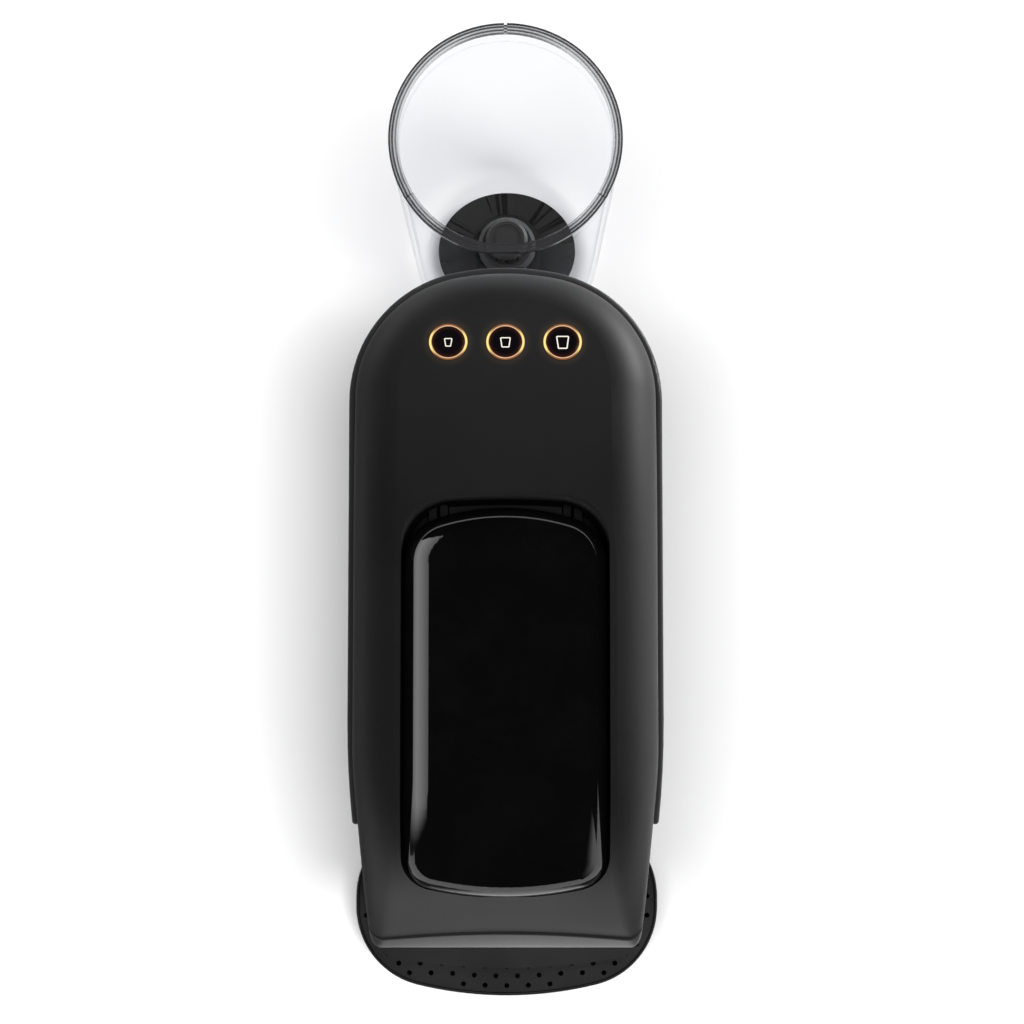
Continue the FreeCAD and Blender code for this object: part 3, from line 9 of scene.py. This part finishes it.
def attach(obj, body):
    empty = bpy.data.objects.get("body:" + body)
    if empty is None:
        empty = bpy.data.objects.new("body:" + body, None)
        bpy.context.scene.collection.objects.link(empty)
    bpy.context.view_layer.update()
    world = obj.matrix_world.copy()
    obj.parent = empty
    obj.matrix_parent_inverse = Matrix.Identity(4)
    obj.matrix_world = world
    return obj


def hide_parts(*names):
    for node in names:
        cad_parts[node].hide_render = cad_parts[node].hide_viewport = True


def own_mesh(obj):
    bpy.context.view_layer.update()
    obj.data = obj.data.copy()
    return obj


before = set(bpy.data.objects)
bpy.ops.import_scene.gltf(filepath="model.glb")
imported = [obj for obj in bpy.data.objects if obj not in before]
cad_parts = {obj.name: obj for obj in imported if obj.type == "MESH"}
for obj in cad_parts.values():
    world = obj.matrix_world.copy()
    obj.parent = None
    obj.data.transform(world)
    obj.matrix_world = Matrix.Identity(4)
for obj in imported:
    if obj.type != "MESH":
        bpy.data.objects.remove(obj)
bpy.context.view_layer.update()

scene = bpy.context.scene
scene.view_settings.view_transform = "Standard"

# Places and sizes of the CAD model that surfaces and marks follow
BUTTONS = ("button_small", "button_medium", "button_large")
PRESSES = ("small_cup_button", "medium_cup_button", "large_cup_button")
ARCH_RADIUS = 0.330
TOP_HEIGHT = 0.256
BUTTON_Y = 0.0774
BUTTON_PITCH = 0.0218
CAP_RADIUS = 0.0062
CAP_DOME = ((0.0, 0.00045), (CAP_RADIUS * 0.5, 0.0004), (CAP_RADIUS - 0.0005, 0.0002))
RING_OUTSIDE = 0.0074
SHELL_LIP = 0.2209
TANK_Y = 0.1568
TANK_RADIUS = 0.0452
TANK_TOP = 0.245
TANK_FLOOR = 0.033
FLOOR_FADE = 0.003
NOTCH_DEPTH = 0.0024
TILT = math.asin(BUTTON_Y / ARCH_RADIUS)
BUTTON_Z = TOP_HEIGHT - ARCH_RADIUS * (1 - math.cos(TILT))

# Lit rings: radii of the pale line, the copper line and the crescents, and the reach of the glow painted
# around them
PALE_LINE, COPPER_LINE, CRESCENT = 0.00662, 0.00718, 0.0069
GLOW_REACH = 0.0032

# Painted reflection lines in the tank's rim: their spacing, and the radii between which the rim's painted
# shade darkens outwards
RIM_LINE = 0.00125
RIM_PHASE = TANK_RADIUS - 0.0003
RIM_PALE, RIM_DARK = TANK_RADIUS - 0.0040, TANK_RADIUS - 0.0008

# Cup marks: name, width at the rear, width at the front, height, stroke
MARKS = (
    ("cup_mark_small", 0.0033, 0.0022, 0.0035, 0.00040),
    ("cup_mark_medium", 0.0042, 0.0030, 0.0042, 0.00042),
    ("cup_mark_large", 0.0051, 0.00365, 0.00535, 0.00046),
)
MARK_SHIFT = 0.0004
MARK_SINK, MARK_RISE = -0.00002, 0.00004
CORNER_STEPS = 5
OUTER_CORNER, INNER_CORNER = 1.1, 0.45

# Studio
ROOM_LEVEL = 0.05
FLOOR_LIFT = 0.04
FLAT_RADIUS = 0.5
SWEEP_RADIUS, SWEEP_BEND = 4.0, 1.2
SWEEP_STEPS, BEND_STEPS = 64, 8
KEY_Y, KEY_HEIGHT, KEY_DEPTH = -0.2, 3.0, 0.7
FOCAL_PIXELS, PHOTO_PIXELS, SENSOR = 2036, 1024, 36.0
CAMERA_PLACE, CAMERA_TILT = (0.0025, -0.044, 1.016), 4.19


class Surface:
    """A node material with short calls for the nodes used here."""

    def __init__(self, name):
        self.material = bpy.data.materials.new(name)
        self.material.use_nodes = True
        self.nodes = self.material.node_tree.nodes
        self.links = self.material.node_tree.links
        self.shader = self.nodes["Principled BSDF"]
        self.output = self.nodes["Material Output"]
        self.place = self.nodes.new("ShaderNodeTexCoord").outputs["Object"]

    def set(self, **values):
        """Plain values on the shader's own sockets."""
        for name, value in values.items():
            self.shader.inputs[name.replace("_", " ")].default_value = value
        return self

    def feed(self, target, source):
        """Joins an output to an input, or sets a plain value."""
        if isinstance(source, bpy.types.NodeSocket):
            self.links.new(source, target)
        else:
            target.default_value = source

    def drive(self, name, source):
        """Joins an output to one of the shader's sockets."""
        self.links.new(source, self.shader.inputs[name])
        return self

    def stretched(self, x, y, z):
        """The object's own coordinates, scaled along each axis."""
        node = self.nodes.new("ShaderNodeMapping")
        node.inputs["Scale"].default_value = (x, y, z)
        self.links.new(self.place, node.inputs["Vector"])
        return node.outputs["Vector"]

    def noise(self, scale, detail=2.0, rough=0.5, place=None):
        node = self.nodes.new("ShaderNodeTexNoise")
        node.inputs["Scale"].default_value = scale
        node.inputs["Detail"].default_value = detail
        node.inputs["Roughness"].default_value = rough
        self.links.new(place or self.place, node.inputs["Vector"])
        return node.outputs["Fac"]

    def cells(self, scale, place=None):
        node = self.nodes.new("ShaderNodeTexVoronoi")
        node.inputs["Scale"].default_value = scale
        self.links.new(place or self.place, node.inputs["Vector"])
        return node.outputs["Distance"]

    def waves(self, scale, direction):
        node = self.nodes.new("ShaderNodeTexWave")
        node.bands_direction = direction
        node.inputs["Scale"].default_value = scale
        self.links.new(self.place, node.inputs["Vector"])
        return node.outputs["Fac"]

    def calc(self, kind, a, b=0.0):
        node = self.nodes.new("ShaderNodeMath")
        node.operation = kind
        self.feed(node.inputs[0], a)
        self.feed(node.inputs[1], b)
        return node.outputs["Value"]

    def span(self, a, b):
        """Distance of a point that lies a and b away along two axes."""
        return self.calc("SQRT", self.calc("ADD", self.calc("MULTIPLY", a, a), self.calc("MULTIPLY", b, b)))

    def spread(self, value, low, high, to_low, to_high, smooth=False):
        """Maps a range of values to another range."""
        node = self.nodes.new("ShaderNodeMapRange")
        node.interpolation_type = "SMOOTHSTEP" if smooth else "LINEAR"
        for socket, number in zip(node.inputs[1:5], (low, high, to_low, to_high)):
            socket.default_value = number
        self.links.new(value, node.inputs["Value"])
        return node.outputs["Result"]

    def band(self, value, middle, full, end):
        """1 near a middle value, fading to 0 at a distance from it."""
        off = self.calc("ABSOLUTE", self.calc("SUBTRACT", value, middle))
        return self.spread(off, full, end, 1, 0, smooth=True)

    def blend(self, factor, first, second):
        """Mixes two colours, plain or from a node."""
        node = self.nodes.new("ShaderNodeMix")
        node.data_type = "RGBA"
        self.feed(node.inputs["Factor"], factor)
        sockets = [socket for socket in node.inputs if socket.type == "RGBA"]
        for socket, colour in zip(sockets, (first, second)):
            self.feed(socket, colour if isinstance(colour, bpy.types.NodeSocket) else (*colour, 1.0))
        return [socket for socket in node.outputs if socket.type == "RGBA"][0]

    def mottle(self, pattern, low, high, dark, light):
        """Base colour that goes from dark to light over a range of a pattern."""
        return self.drive("Base Color", self.blend(self.spread(pattern, low, high, 0, 1), dark, light))

    def relief(self, height, depth):
        """Fine height detail on the surface, depth in metres."""
        node = self.nodes.new("ShaderNodeBump")
        node.inputs["Distance"].default_value = depth
        node.inputs["Strength"].default_value = 1.0
        self.links.new(height, node.inputs["Height"])
        self.links.new(node.outputs["Normal"], self.shader.inputs["Normal"])
        return self

    def mixed(self, factor, first, second):
        """Mixes two shaders."""
        node = self.nodes.new("ShaderNodeMixShader")
        for socket, source in zip(node.inputs, (factor, first, second)):
            self.links.new(source, socket)
        return node.outputs["Shader"]

    def axes(self):
        node = self.nodes.new("ShaderNodeSeparateXYZ")
        self.links.new(self.place, node.inputs["Vector"])
        return node.outputs["X"], node.outputs["Y"], node.outputs["Z"]


def moulded(name, dark, light, rough_low, rough_high, grain, depth):
    """Moulded plastic: faint mottling in the colour, spark-eroded grain in the gloss and the relief."""
    s = Surface(name)
    broad = s.noise(22, 3)
    fine = s.noise(grain, 2, 0.6)
    s.mottle(broad, 0.35, 0.65, dark, light)
    s.drive("Roughness", s.spread(s.calc("ADD", fine, broad), 0.7, 1.3, rough_low, rough_high))
    return s.relief(fine, depth)


def painted_lip_highlight(s, height, colour):
    """Painted highlight: a paler base colour on the edge of a moulding above a height."""
    above = s.spread(s.axes()[2], height - 0.0003, height, 0, 1)
    plain = s.shader.inputs["Base Color"].links[0].from_socket
    return s.drive("Base Color", s.blend(above, plain, colour))


def rubber(name):
    """Dull rubber with a little dust in its grain."""
    s = Surface(name)
    fine = s.noise(1900, 3, 0.7)
    s.mottle(s.noise(60, 4), 0.45, 0.75, (0.018, 0.018, 0.019), (0.034, 0.033, 0.032))
    s.drive("Roughness", s.spread(fine, 0.3, 0.7, 0.62, 0.85))
    return s.relief(fine, 0.00006)


def brushed(name, colour, stretch):
    """Drawn or turned metal with fine lines across one axis."""
    s = Surface(name)
    s.set(Metallic=1.0)
    lines = s.noise(900, 4, 0.7, s.stretched(*stretch))
    pale = tuple(min(1.0, c * 1.12) for c in colour)
    s.mottle(s.noise(80, 3), 0.3, 0.7, colour, pale)
    s.drive("Roughness", s.spread(lines, 0.3, 0.7, 0.2, 0.42))
    return s.relief(lines, 0.00002)


def cast_metal(name):
    """Cast aluminium with a pebbled skin."""
    s = Surface(name)
    s.set(Metallic=1.0)
    cloud = s.noise(45, 4)
    s.mottle(cloud, 0.3, 0.7, (0.42, 0.43, 0.45), (0.58, 0.59, 0.6))
    s.drive("Roughness", s.spread(cloud, 0.3, 0.7, 0.38, 0.58))
    return s.relief(s.cells(420), 0.0002)


def laminated(name):
    """Pump stack: thin sheets side by side under a red-brown varnish."""
    s = Surface(name)
    sheets = s.waves(330, "Y")
    s.mottle(s.noise(60, 3), 0.3, 0.7, (0.20, 0.035, 0.02), (0.32, 0.07, 0.03))
    s.drive("Roughness", s.spread(sheets, 0, 1, 0.28, 0.5))
    return s.relief(sheets, 0.00015)


def circuit(name):
    """Solder mask with raised tracks."""
    s = Surface(name)
    tracks = s.spread(s.cells(260, s.stretched(1, 1, 0.45)), 0.25, 0.4, 0, 1)
    s.drive("Base Color", s.blend(tracks, (0.012, 0.075, 0.035), (0.02, 0.125, 0.055)))
    s.drive("Roughness", s.spread(tracks, 0, 1, 0.3, 0.42))
    return s.relief(tracks, 0.00004)


def gloss_lacquer(name):
    """Deep black gloss with a trace of orange peel and faint handling marks."""
    s = Surface(name)
    s.set(Coat_Weight=0.35, Coat_Roughness=0.03)
    marks = s.noise(35, 5, 0.65)
    s.mottle(marks, 0.4, 0.8, (0.0020, 0.0020, 0.0022), (0.0032, 0.0032, 0.0034))
    s.drive("Roughness", s.spread(marks, 0.4, 0.8, 0.045, 0.11))
    return s.relief(s.noise(150, 1), 0.000002)


def clear_plastic(name):
    """Clear moulded wall: seen through straight on, with a painted dark edge where seen edge on and painted
    light and dark reflection lines on the rim.
    """
    s = Surface(name)
    s.set(Base_Color=(0.030, 0.030, 0.032, 1.0))
    s.drive("Roughness", s.spread(s.noise(30, 3), 0.3, 0.8, 0.06, 0.12))
    s.relief(s.noise(40, 1), 0.00002)
    x, y, z = s.axes()
    radius = s.span(x, s.calc("SUBTRACT", y, TANK_Y))
    # Painted reflections: light and dark lines round the rim, with painted shade growing outwards and toward
    # the front and rear.
    turns = s.calc("MULTIPLY", s.calc("SUBTRACT", radius, RIM_PHASE), math.tau / RIM_LINE)
    lines = s.spread(s.calc("COSINE", turns), -1, 1, -0.34, 0.14)
    side = s.calc("DIVIDE", s.calc("ABSOLUTE", x), radius)
    fade = s.spread(radius, RIM_PALE, RIM_DARK, 0.50, 1.0)
    dark = s.calc("MAXIMUM", fade, s.spread(side, 0.25, 0.9, 0.86, 0.4))
    dark = s.calc("MINIMUM", s.calc("ADD", dark, lines), 1.0)
    rim = s.calc("MULTIPLY", dark, s.calc("GREATER_THAN", z, TANK_TOP - NOTCH_DEPTH))
    # Painted shade: the wall turns dark where it is seen edge on.
    weight = s.nodes.new("ShaderNodeLayerWeight")
    edge = s.spread(weight.outputs["Facing"], 0.94, 1.0, 0.02, 0.92)
    see = s.nodes.new("ShaderNodeBsdfTransparent")
    see.inputs["Color"].default_value = (0.975, 0.98, 0.985, 1.0)
    wall = s.mixed(s.calc("MAXIMUM", edge, rim), see.outputs["BSDF"], s.shader.outputs["BSDF"])
    above = s.spread(z, TANK_FLOOR, TANK_FLOOR + FLOOR_FADE, 0, 1)
    shade = s.nodes.new("ShaderNodeBsdfTransparent")
    s.links.new(s.blend(above, (0.92, 0.92, 0.92), (0.82, 0.82, 0.83)), shade.inputs["Color"])
    path = s.nodes.new("ShaderNodeLightPath")
    whole = s.mixed(path.outputs["Is Shadow Ray"], wall, shade.outputs["BSDF"])
    s.links.new(whole, s.output.inputs["Surface"])
    return s


def button_polar(s):
    """Distance from the nearest button's axis and how far round to its side a point lies, 0 to 1."""
    x, y, z = s.axes()
    number = s.calc("ROUND", s.calc("DIVIDE", x, BUTTON_PITCH))
    number = s.calc("MAXIMUM", s.calc("MINIMUM", number, 1.0), -1.0)
    across = s.calc("SUBTRACT", x, s.calc("MULTIPLY", number, BUTTON_PITCH))
    along = s.calc("DIVIDE", s.calc("SUBTRACT", y, BUTTON_Y), math.cos(TILT))
    radius = s.span(across, along)
    return radius, s.calc("DIVIDE", s.calc("ABSOLUTE", across), radius)


def lit_ring(name):
    """Gold light ring: a thin pale line inside, a copper line outside, yellow crescents at the sides."""
    s = Surface(name)
    radius, side = button_polar(s)
    line = s.band(radius, PALE_LINE, 0.0001, 0.00032)
    copper = s.band(radius, COPPER_LINE, 0.00008, 0.00026)
    broad = s.band(radius, CRESCENT, 0.00028, 0.00055)
    fill = s.calc("MULTIPLY", broad, s.spread(side, 0.55, 0.97, 0, 1, smooth=True))
    s.set(Base_Color=(0.05, 0.025, 0.012, 1.0), Roughness=0.35)
    colour = s.blend(line, (0.62, 0.22, 0.07), (1.0, 0.66, 0.42))
    s.drive("Emission Color", s.blend(fill, colour, (1.0, 0.79, 0.28)))
    glow = s.calc("MAXIMUM", s.calc("MULTIPLY", line, 0.85), s.calc("MULTIPLY", copper, 0.45))
    glow = s.calc("MAXIMUM", glow, s.calc("MULTIPLY", fill, 1.1))
    grain = s.spread(s.noise(500, 2), 0.3, 0.7, 0.95, 1.05)
    return s.drive("Emission Strength", s.calc("MULTIPLY", glow, grain))


def painted_ring_glow(s, strength):
    """Painted glow: warm light that the rings would throw on the surface beside them, put into the surface's
    own emission.
    """
    radius, side = button_polar(s)
    fall = s.spread(radius, RING_OUTSIDE, RING_OUTSIDE + GLOW_REACH, 1, 0, smooth=True)
    s.set(Emission_Color=(1.0, 0.62, 0.28, 1.0))
    return s.drive("Emission Strength", s.calc("MULTIPLY", fall, strength))


def cap_glass(name):
    """Smoked button cap, with the ring's warm light painted into its colour towards the edge."""
    s = Surface(name)
    radius, side = button_polar(s)
    rim = s.spread(radius, 0.0045, CAP_RADIUS, 0, 1, smooth=True)
    haze = s.noise(260, 3)
    # Painted glow: the cap's colour warms towards the lit ring.
    s.drive("Base Color", s.blend(rim, (0.004, 0.003, 0.004), (0.022, 0.007, 0.005)))
    s.drive("Roughness", s.spread(haze, 0.3, 0.7, 0.12, 0.2))
    return s.relief(haze, 0.000004)


def lit_mark(name):
    """Warm white lit print."""
    s = Surface(name)
    cloud = s.spread(s.noise(900, 2), 0.3, 0.7, 0, 1)
    s.set(Base_Color=(0.12, 0.115, 0.10, 1.0), Roughness=0.4, Emission_Strength=0.95)
    return s.drive("Emission Color", s.blend(cloud, (1.0, 0.93, 0.78), (1.0, 0.97, 0.88)))


# The cover carries a painted glow around the buttons' rings.
cover = painted_ring_glow(
    moulded("satin_cover", (0.007, 0.007, 0.0074), (0.0085, 0.0085, 0.0089), 0.52, 0.60, 1500, 0.000016),
    0.02)
# The shell's lip gets a painted highlight above SHELL_LIP.
shell = painted_lip_highlight(
    moulded("satin_shell", (0.011, 0.011, 0.0115), (0.0135, 0.0135, 0.014), 0.46, 0.54, 1500, 0.000014),
    SHELL_LIP, (0.025, 0.025, 0.026))
visor = moulded("satin_visor", (0.0125, 0.0125, 0.013), (0.015, 0.015, 0.0155), 0.40, 0.48, 1500, 0.000014)
matte = moulded("matte_moulding", (0.011, 0.011, 0.0114), (0.016, 0.016, 0.0164), 0.46, 0.60, 1100, 0.00003)
grate = moulded("grid_moulding", (0.017, 0.017, 0.0175), (0.0215, 0.0215, 0.022), 0.42, 0.56, 1300, 0.00003)
dock = moulded("dock_moulding", (0.025, 0.025, 0.0256), (0.031, 0.031, 0.0316), 0.36, 0.48, 1200, 0.00002)
# Inner pieces get a darker moulding than the outer ones: painted shade for the dim gaps and recesses they
# sit in.
inner = moulded("inner_moulding", (0.006, 0.006, 0.0063), (0.009, 0.009, 0.0094), 0.50, 0.62, 900, 0.00003)
parts = moulded("component_body", (0.014, 0.014, 0.015), (0.026, 0.026, 0.027), 0.35, 0.5, 1400, 0.00002)
lacquer = gloss_lacquer("gloss_lacquer")
steel_y = brushed("drawn_steel", (0.55, 0.55, 0.56), (1, 0.04, 1))
steel_x = brushed("ground_steel", (0.55, 0.55, 0.56), (0.04, 1, 1))
steel_z = brushed("turned_steel", (0.55, 0.55, 0.56), (1, 1, 0.04))
brass = brushed("turned_brass", (0.60, 0.44, 0.17), (1, 6, 1))
aluminium = cast_metal("cast_aluminium")
varnish = laminated("varnished_stack")
board = circuit("solder_mask")
black_rubber = rubber("black_rubber")
clear = clear_plastic("clear_tank")
ring_light = lit_ring("gold_ring_light")
cap = cap_glass("smoked_cap")
mark = lit_mark("warm_white_mark")

WEARS = {
    cover: ["top_cover"],
    shell: ["side_shell"],
    visor: ["spout_visor"],
    matte: ["base_plate", "front_fascia", "head_floor", "drip_tray", "capsule_bin", "lever_liner"],
    dock: ["tank_dock", "valve_body", "tank_strainer"],
    grate: ["drip_grid"],
    inner: [
        "chassis", "brew_frame", "capsule_guide", "capsule_chute", "extraction_head", "coffee_channel",
        "spout_nozzle", "capsule_cage", "feed_sleeve", "cam_plate_left", "cam_plate_right", "valve_plunger",
        "flow_meter", "pump_bracket", "cord_gland"],
    parts: ["push_switches", "board_components"],
    lacquer: ["lever_shell"],
    cap: list(BUTTONS),
    ring_light: ["light_guide"],
    clear: ["water_tank"],
    black_rubber: [
        "rubber_feet", "dock_seal", "brew_seal", "pump_mounts", "intake_hose", "suction_hose",
        "pressure_hose", "brew_hose"],
    steel_x: ["lever_pin", "follower_pins", "thermostat"],
    steel_y: ["guide_rods", "feed_tube", "injection_needles"],
    steel_z: ["base_screws", "dock_pin", "valve_spring"],
    aluminium: ["heater_block"],
    brass: ["pump_core"],
    varnish: ["pump_coil"],
    board: ["control_board", "power_board"],
}
for surface, names in WEARS.items():
    for name in names:
        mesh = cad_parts[name].data
        mesh.materials.clear()
        mesh.materials.append(surface.material)


def cap_height(radius):
    """Height of a button cap's domed face above the ring plane."""
    for (near, high), (far, low) in zip(CAP_DOME, CAP_DOME[1:]):
        if radius <= far:
            return high + (low - high) * (radius - near) / (far - near)
    return CAP_DOME[-1][1]


def rounded(corners, radius):
    """Closed outline with each corner rounded."""
    points = []
    count = len(corners)
    for index, here in enumerate(corners):
        back = (corners[index - 1] - here).normalized()
        ahead = (corners[(index + 1) % count] - here).normalized()
        half = back.angle(ahead) / 2
        centre = here + (back + ahead).normalized() * (radius / math.sin(half))
        start = here + back * (radius / math.tan(half)) - centre
        end = here + ahead * (radius / math.tan(half)) - centre
        for step in range(CORNER_STEPS + 1):
            share = step / CORNER_STEPS
            points.append(centre + (start * (1 - share) + end * share).normalized() * radius)
    return points


def cup_mark(name, rear, front, height, stroke):
    """Outline of a cup, wide side to the rear, printed on a domed cap."""
    def corners(inset):
        lean = (rear - front) / 2 / height
        top, low = height / 2 - inset, -height / 2 + inset
        side = inset * math.sqrt(1 + lean * lean)
        half_top = rear / 2 - lean * inset - side
        half_low = front / 2 + lean * inset - side
        spots = (half_top, top), (-half_top, top), (-half_low, low), (half_low, low)
        return [Vector(spot) for spot in spots]

    outer = rounded(corners(0), stroke * OUTER_CORNER)
    inner = rounded(corners(stroke), stroke * INNER_CORNER)
    mesh = bmesh.new()
    rings = []
    for outline, lift in ((outer, MARK_SINK), (outer, MARK_RISE), (inner, MARK_RISE), (inner, MARK_SINK)):
        rings.append([mesh.verts.new((p.x, p.y - MARK_SHIFT, cap_height(p.length) + lift)) for p in outline])
    count = len(outer)
    for index, near in enumerate(rings):
        far = rings[(index + 1) % len(rings)]
        for i in range(count):
            j = (i + 1) % count
            mesh.faces.new((near[i], near[j], far[j], far[i]))
    bmesh.ops.recalc_face_normals(mesh, faces=mesh.faces)
    data = bpy.data.meshes.new(name)
    mesh.to_mesh(data)
    data.materials.append(mark.material)
    return bpy.data.objects.new(name, data)


for number, (size, press) in enumerate(zip(MARKS, PRESSES)):
    piece = cup_mark(*size)
    scene.collection.objects.link(piece)
    spot = Vector(((number - 1) * BUTTON_PITCH, BUTTON_Y, BUTTON_Z))
    piece.matrix_world = Matrix.Translation(spot) @ Matrix.Rotation(-TILT, 4, "X")
    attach(piece, press)


def make_spring():
    """The valve spring as a copy with its own mesh that rides on the tank, in place of the hidden CAD node.
    """
    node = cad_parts["valve_spring"]
    coil = bpy.data.objects.new("valve_coil", node.data.copy())
    scene.collection.objects.link(coil)
    coil.matrix_world = node.matrix_world
    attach(coil, "tank")
    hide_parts("valve_spring")
    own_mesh(coil)


def sweep_mesh():
    """Round floor that bends up into a backdrop."""
    rings = [(FLAT_RADIUS, 0.0), (SWEEP_RADIUS - SWEEP_BEND, 0.0)]
    for step in range(1, BEND_STEPS + 1):
        turn = math.pi / 2 * step / BEND_STEPS
        out, up = 1 - math.sin(turn), 1 - math.cos(turn)
        rings.append((SWEEP_RADIUS - SWEEP_BEND * out, SWEEP_BEND * up))
    points = [(0.0, 0.0, 0.0)]
    for radius, height in rings:
        for step in range(SWEEP_STEPS):
            turn = math.tau * step / SWEEP_STEPS
            points.append((radius * math.cos(turn), radius * math.sin(turn), height))
    faces = [(0, 1 + step, 1 + (step + 1) % SWEEP_STEPS) for step in range(SWEEP_STEPS)]
    for ring in range(len(rings) - 1):
        low, high = 1 + ring * SWEEP_STEPS, 1 + (ring + 1) * SWEEP_STEPS
        for step in range(SWEEP_STEPS):
            after = (step + 1) % SWEEP_STEPS
            faces.append((low + step, high + step, high + after, low + after))
    mesh = bpy.data.meshes.new("floor")
    mesh.from_pydata(points, [], faces)
    mesh.polygons.foreach_set("use_smooth", [True] * len(faces))
    return mesh


def make_floor():
    """White sweep that keeps the shadow, lifted to white where the lamps fall off."""
    floor = bpy.data.objects.new("floor", sweep_mesh())
    scene.collection.objects.link(floor)
    s = Surface("white_sweep")
    s.set(Base_Color=(0.93, 0.93, 0.935, 1.0), Roughness=0.9, Specular_IOR_Level=0.1)
    path = s.nodes.new("ShaderNodeLightPath")
    seen = s.calc("MAXIMUM", path.outputs["Is Camera Ray"], path.outputs["Is Transmission Ray"])
    seen = s.calc("MAXIMUM", seen, path.outputs["Is Glossy Ray"])
    distance = s.nodes.new("ShaderNodeVectorMath")
    distance.operation = "LENGTH"
    s.links.new(s.place, distance.inputs[0])
    reach = s.calc("POWER", s.calc("DIVIDE", distance.outputs["Value"], KEY_HEIGHT), 2)
    lit = s.calc("POWER", s.calc("DIVIDE", 1.0, s.calc("ADD", 1.0, reach)), 2)
    lift = s.calc("SUBTRACT", 1.0 + FLOOR_LIFT, lit)
    s.set(Emission_Color=(1.0, 1.0, 1.0, 1.0))
    s.drive("Emission Strength", s.calc("MULTIPLY", seen, lift))
    floor.data.materials.append(s.material)


def make_world():
    """Dim room over the sweep."""
    world = bpy.data.worlds.new("studio")
    scene.world = world
    world.use_nodes = True
    world.node_tree.nodes["Background"].inputs["Strength"].default_value = ROOM_LEVEL


def serve(item, names):
    """Limits a lamp or panel to some of the CAD nodes."""
    group = bpy.data.collections.new(item.name + "_serves")
    for name in names:
        group.objects.link(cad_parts[name])
    item.light_linking.receiver_collection = group


def softbox(name, place, aim, width, height, power):
    """Rectangular lamp that the camera doesn't see."""
    lamp = bpy.data.lights.new(name, "AREA")
    lamp.shape = "RECTANGLE"
    lamp.size = width
    lamp.size_y = height
    lamp.energy = power
    item = bpy.data.objects.new(name, lamp)
    item.location = place
    item.rotation_euler = (Vector(aim) - Vector(place)).to_track_quat("-Z", "Y").to_euler()
    item.visible_camera = False
    scene.collection.objects.link(item)
    return item


def reflector(name, place, aim, length, height, level, shade, served=()):
    """Graded panel that only shows in gloss, lighting all pieces or only the named ones."""
    mesh = bpy.data.meshes.new(name)
    mesh.from_pydata([(-1, -1, 0), (1, -1, 0), (1, 1, 0), (-1, 1, 0)], [], [(0, 1, 2, 3)])
    item = bpy.data.objects.new(name, mesh)
    item.location = place
    item.rotation_euler = (Vector(aim) - Vector(place)).to_track_quat("Z", "Y").to_euler()
    item.scale = (length / 2, height / 2, 1.0)
    item.visible_camera = False
    item.visible_diffuse = False
    item.visible_transmission = False
    item.visible_shadow = False
    scene.collection.objects.link(item)
    s = Surface(name)
    along, up, out = s.axes()
    glow = s.nodes.new("ShaderNodeEmission")
    s.links.new(s.calc("MULTIPLY", shade(s, along, up), level), glow.inputs["Strength"])
    s.links.new(glow.outputs["Emission"], s.output.inputs["Surface"])
    mesh.materials.append(s.material)
    if served:
        serve(item, served)


def left_shade(s, along, up):
    """Brightest in the middle, half as bright at the top edge, faded out below and at the front."""
    rise = s.spread(up, -1.0, 0.0, 0, 1)
    fall = s.spread(up, 0.0, 1.0, 1, 0.45)
    end = s.spread(along, -1.0, -0.45, 0, 1, smooth=True)
    return s.calc("MULTIPLY", s.calc("MINIMUM", rise, fall), end)


def front_shade(s, along, up):
    """Brightest at the right, faded out to the left and upward."""
    side = s.spread(along, -1.0, 1.0, 1, 0, smooth=True)
    rise = s.spread(up, -0.2, 0.9, 1, 0, smooth=True)
    return s.calc("MULTIPLY", side, rise)


def card_shade(s, along, up):
    """Even in the middle, dark at both sides."""
    return s.spread(s.calc("ABSOLUTE", along), 0.08, 0.34, 1, 0.06, smooth=True)


def flag_shade(s, along, up):
    """Dark beside the object, paler toward the far edge."""
    return s.spread(along, -1.0, 0.0, 1, 0.1, smooth=True)


def make_lamps():
    """Two overhead lamps, two lamps for the satin pieces and four panels for the gloss."""
    for side, x, width, power in (("right", 0.46, 0.38, 62), ("left", -0.45, 0.56, 40)):
        place = (x, KEY_Y, KEY_HEIGHT)
        key = softbox("overhead_" + side, place, (0.0, 0.0, 0.1), width, KEY_DEPTH, power)
        key.visible_glossy = False
    satin = [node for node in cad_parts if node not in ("lever_shell", "light_guide", *BUTTONS)]
    for name, place, aim, width, height, power in (
            ("right_rear", (0.95, 0.75, 0.36), (0.0, 0.08, 0.24), 0.6, 0.4, 13),
            ("front", (-0.15, -1.4, 0.35), (0.0, -0.1, 0.2), 0.5, 0.3, 2.5)):
        serve(softbox(name, place, aim, width, height, power), satin)
    lever = ["lever_shell"]
    for name, place, aim, length, height, level, shade, served in (
            ("left_panel", (-0.61, 0.05, 0.65), (-0.038, 0.05, 0.25), 1.0, 1.4, 3.2, left_shade, lever),
            ("front_panel", (0.55, -0.75, 0.75), (0.02, -0.1, 0.25), 1.0, 0.8, 1.3, front_shade, lever),
            ("front_card", (0.02, -0.62, 0.003), (0.02, -0.62, 1.0), 0.8, 0.8, 1.15, card_shade, []),
            ("left_flag", (-0.345, 0.0, 0.002), (-0.345, 0.0, 1.0), 0.53, 0.9, 0.5, flag_shade, [])):
        reflector(name, place, aim, length, height, level, shade, served)


def make_camera():
    """Camera where the photograph was taken from."""
    camera = bpy.data.cameras.new("camera")
    camera.sensor_fit = "HORIZONTAL"
    camera.sensor_width = SENSOR
    camera.lens = SENSOR * (FOCAL_PIXELS / PHOTO_PIXELS)
    camera.clip_start = 0.01
    item = bpy.data.objects.new("camera", camera)
    item.location = CAMERA_PLACE
    item.rotation_euler = (math.radians(CAMERA_TILT), 0.0, 0.0)
    scene.collection.objects.link(item)
    scene.camera = item


make_spring()
make_floor()
make_world()
make_lamps()
make_camera()
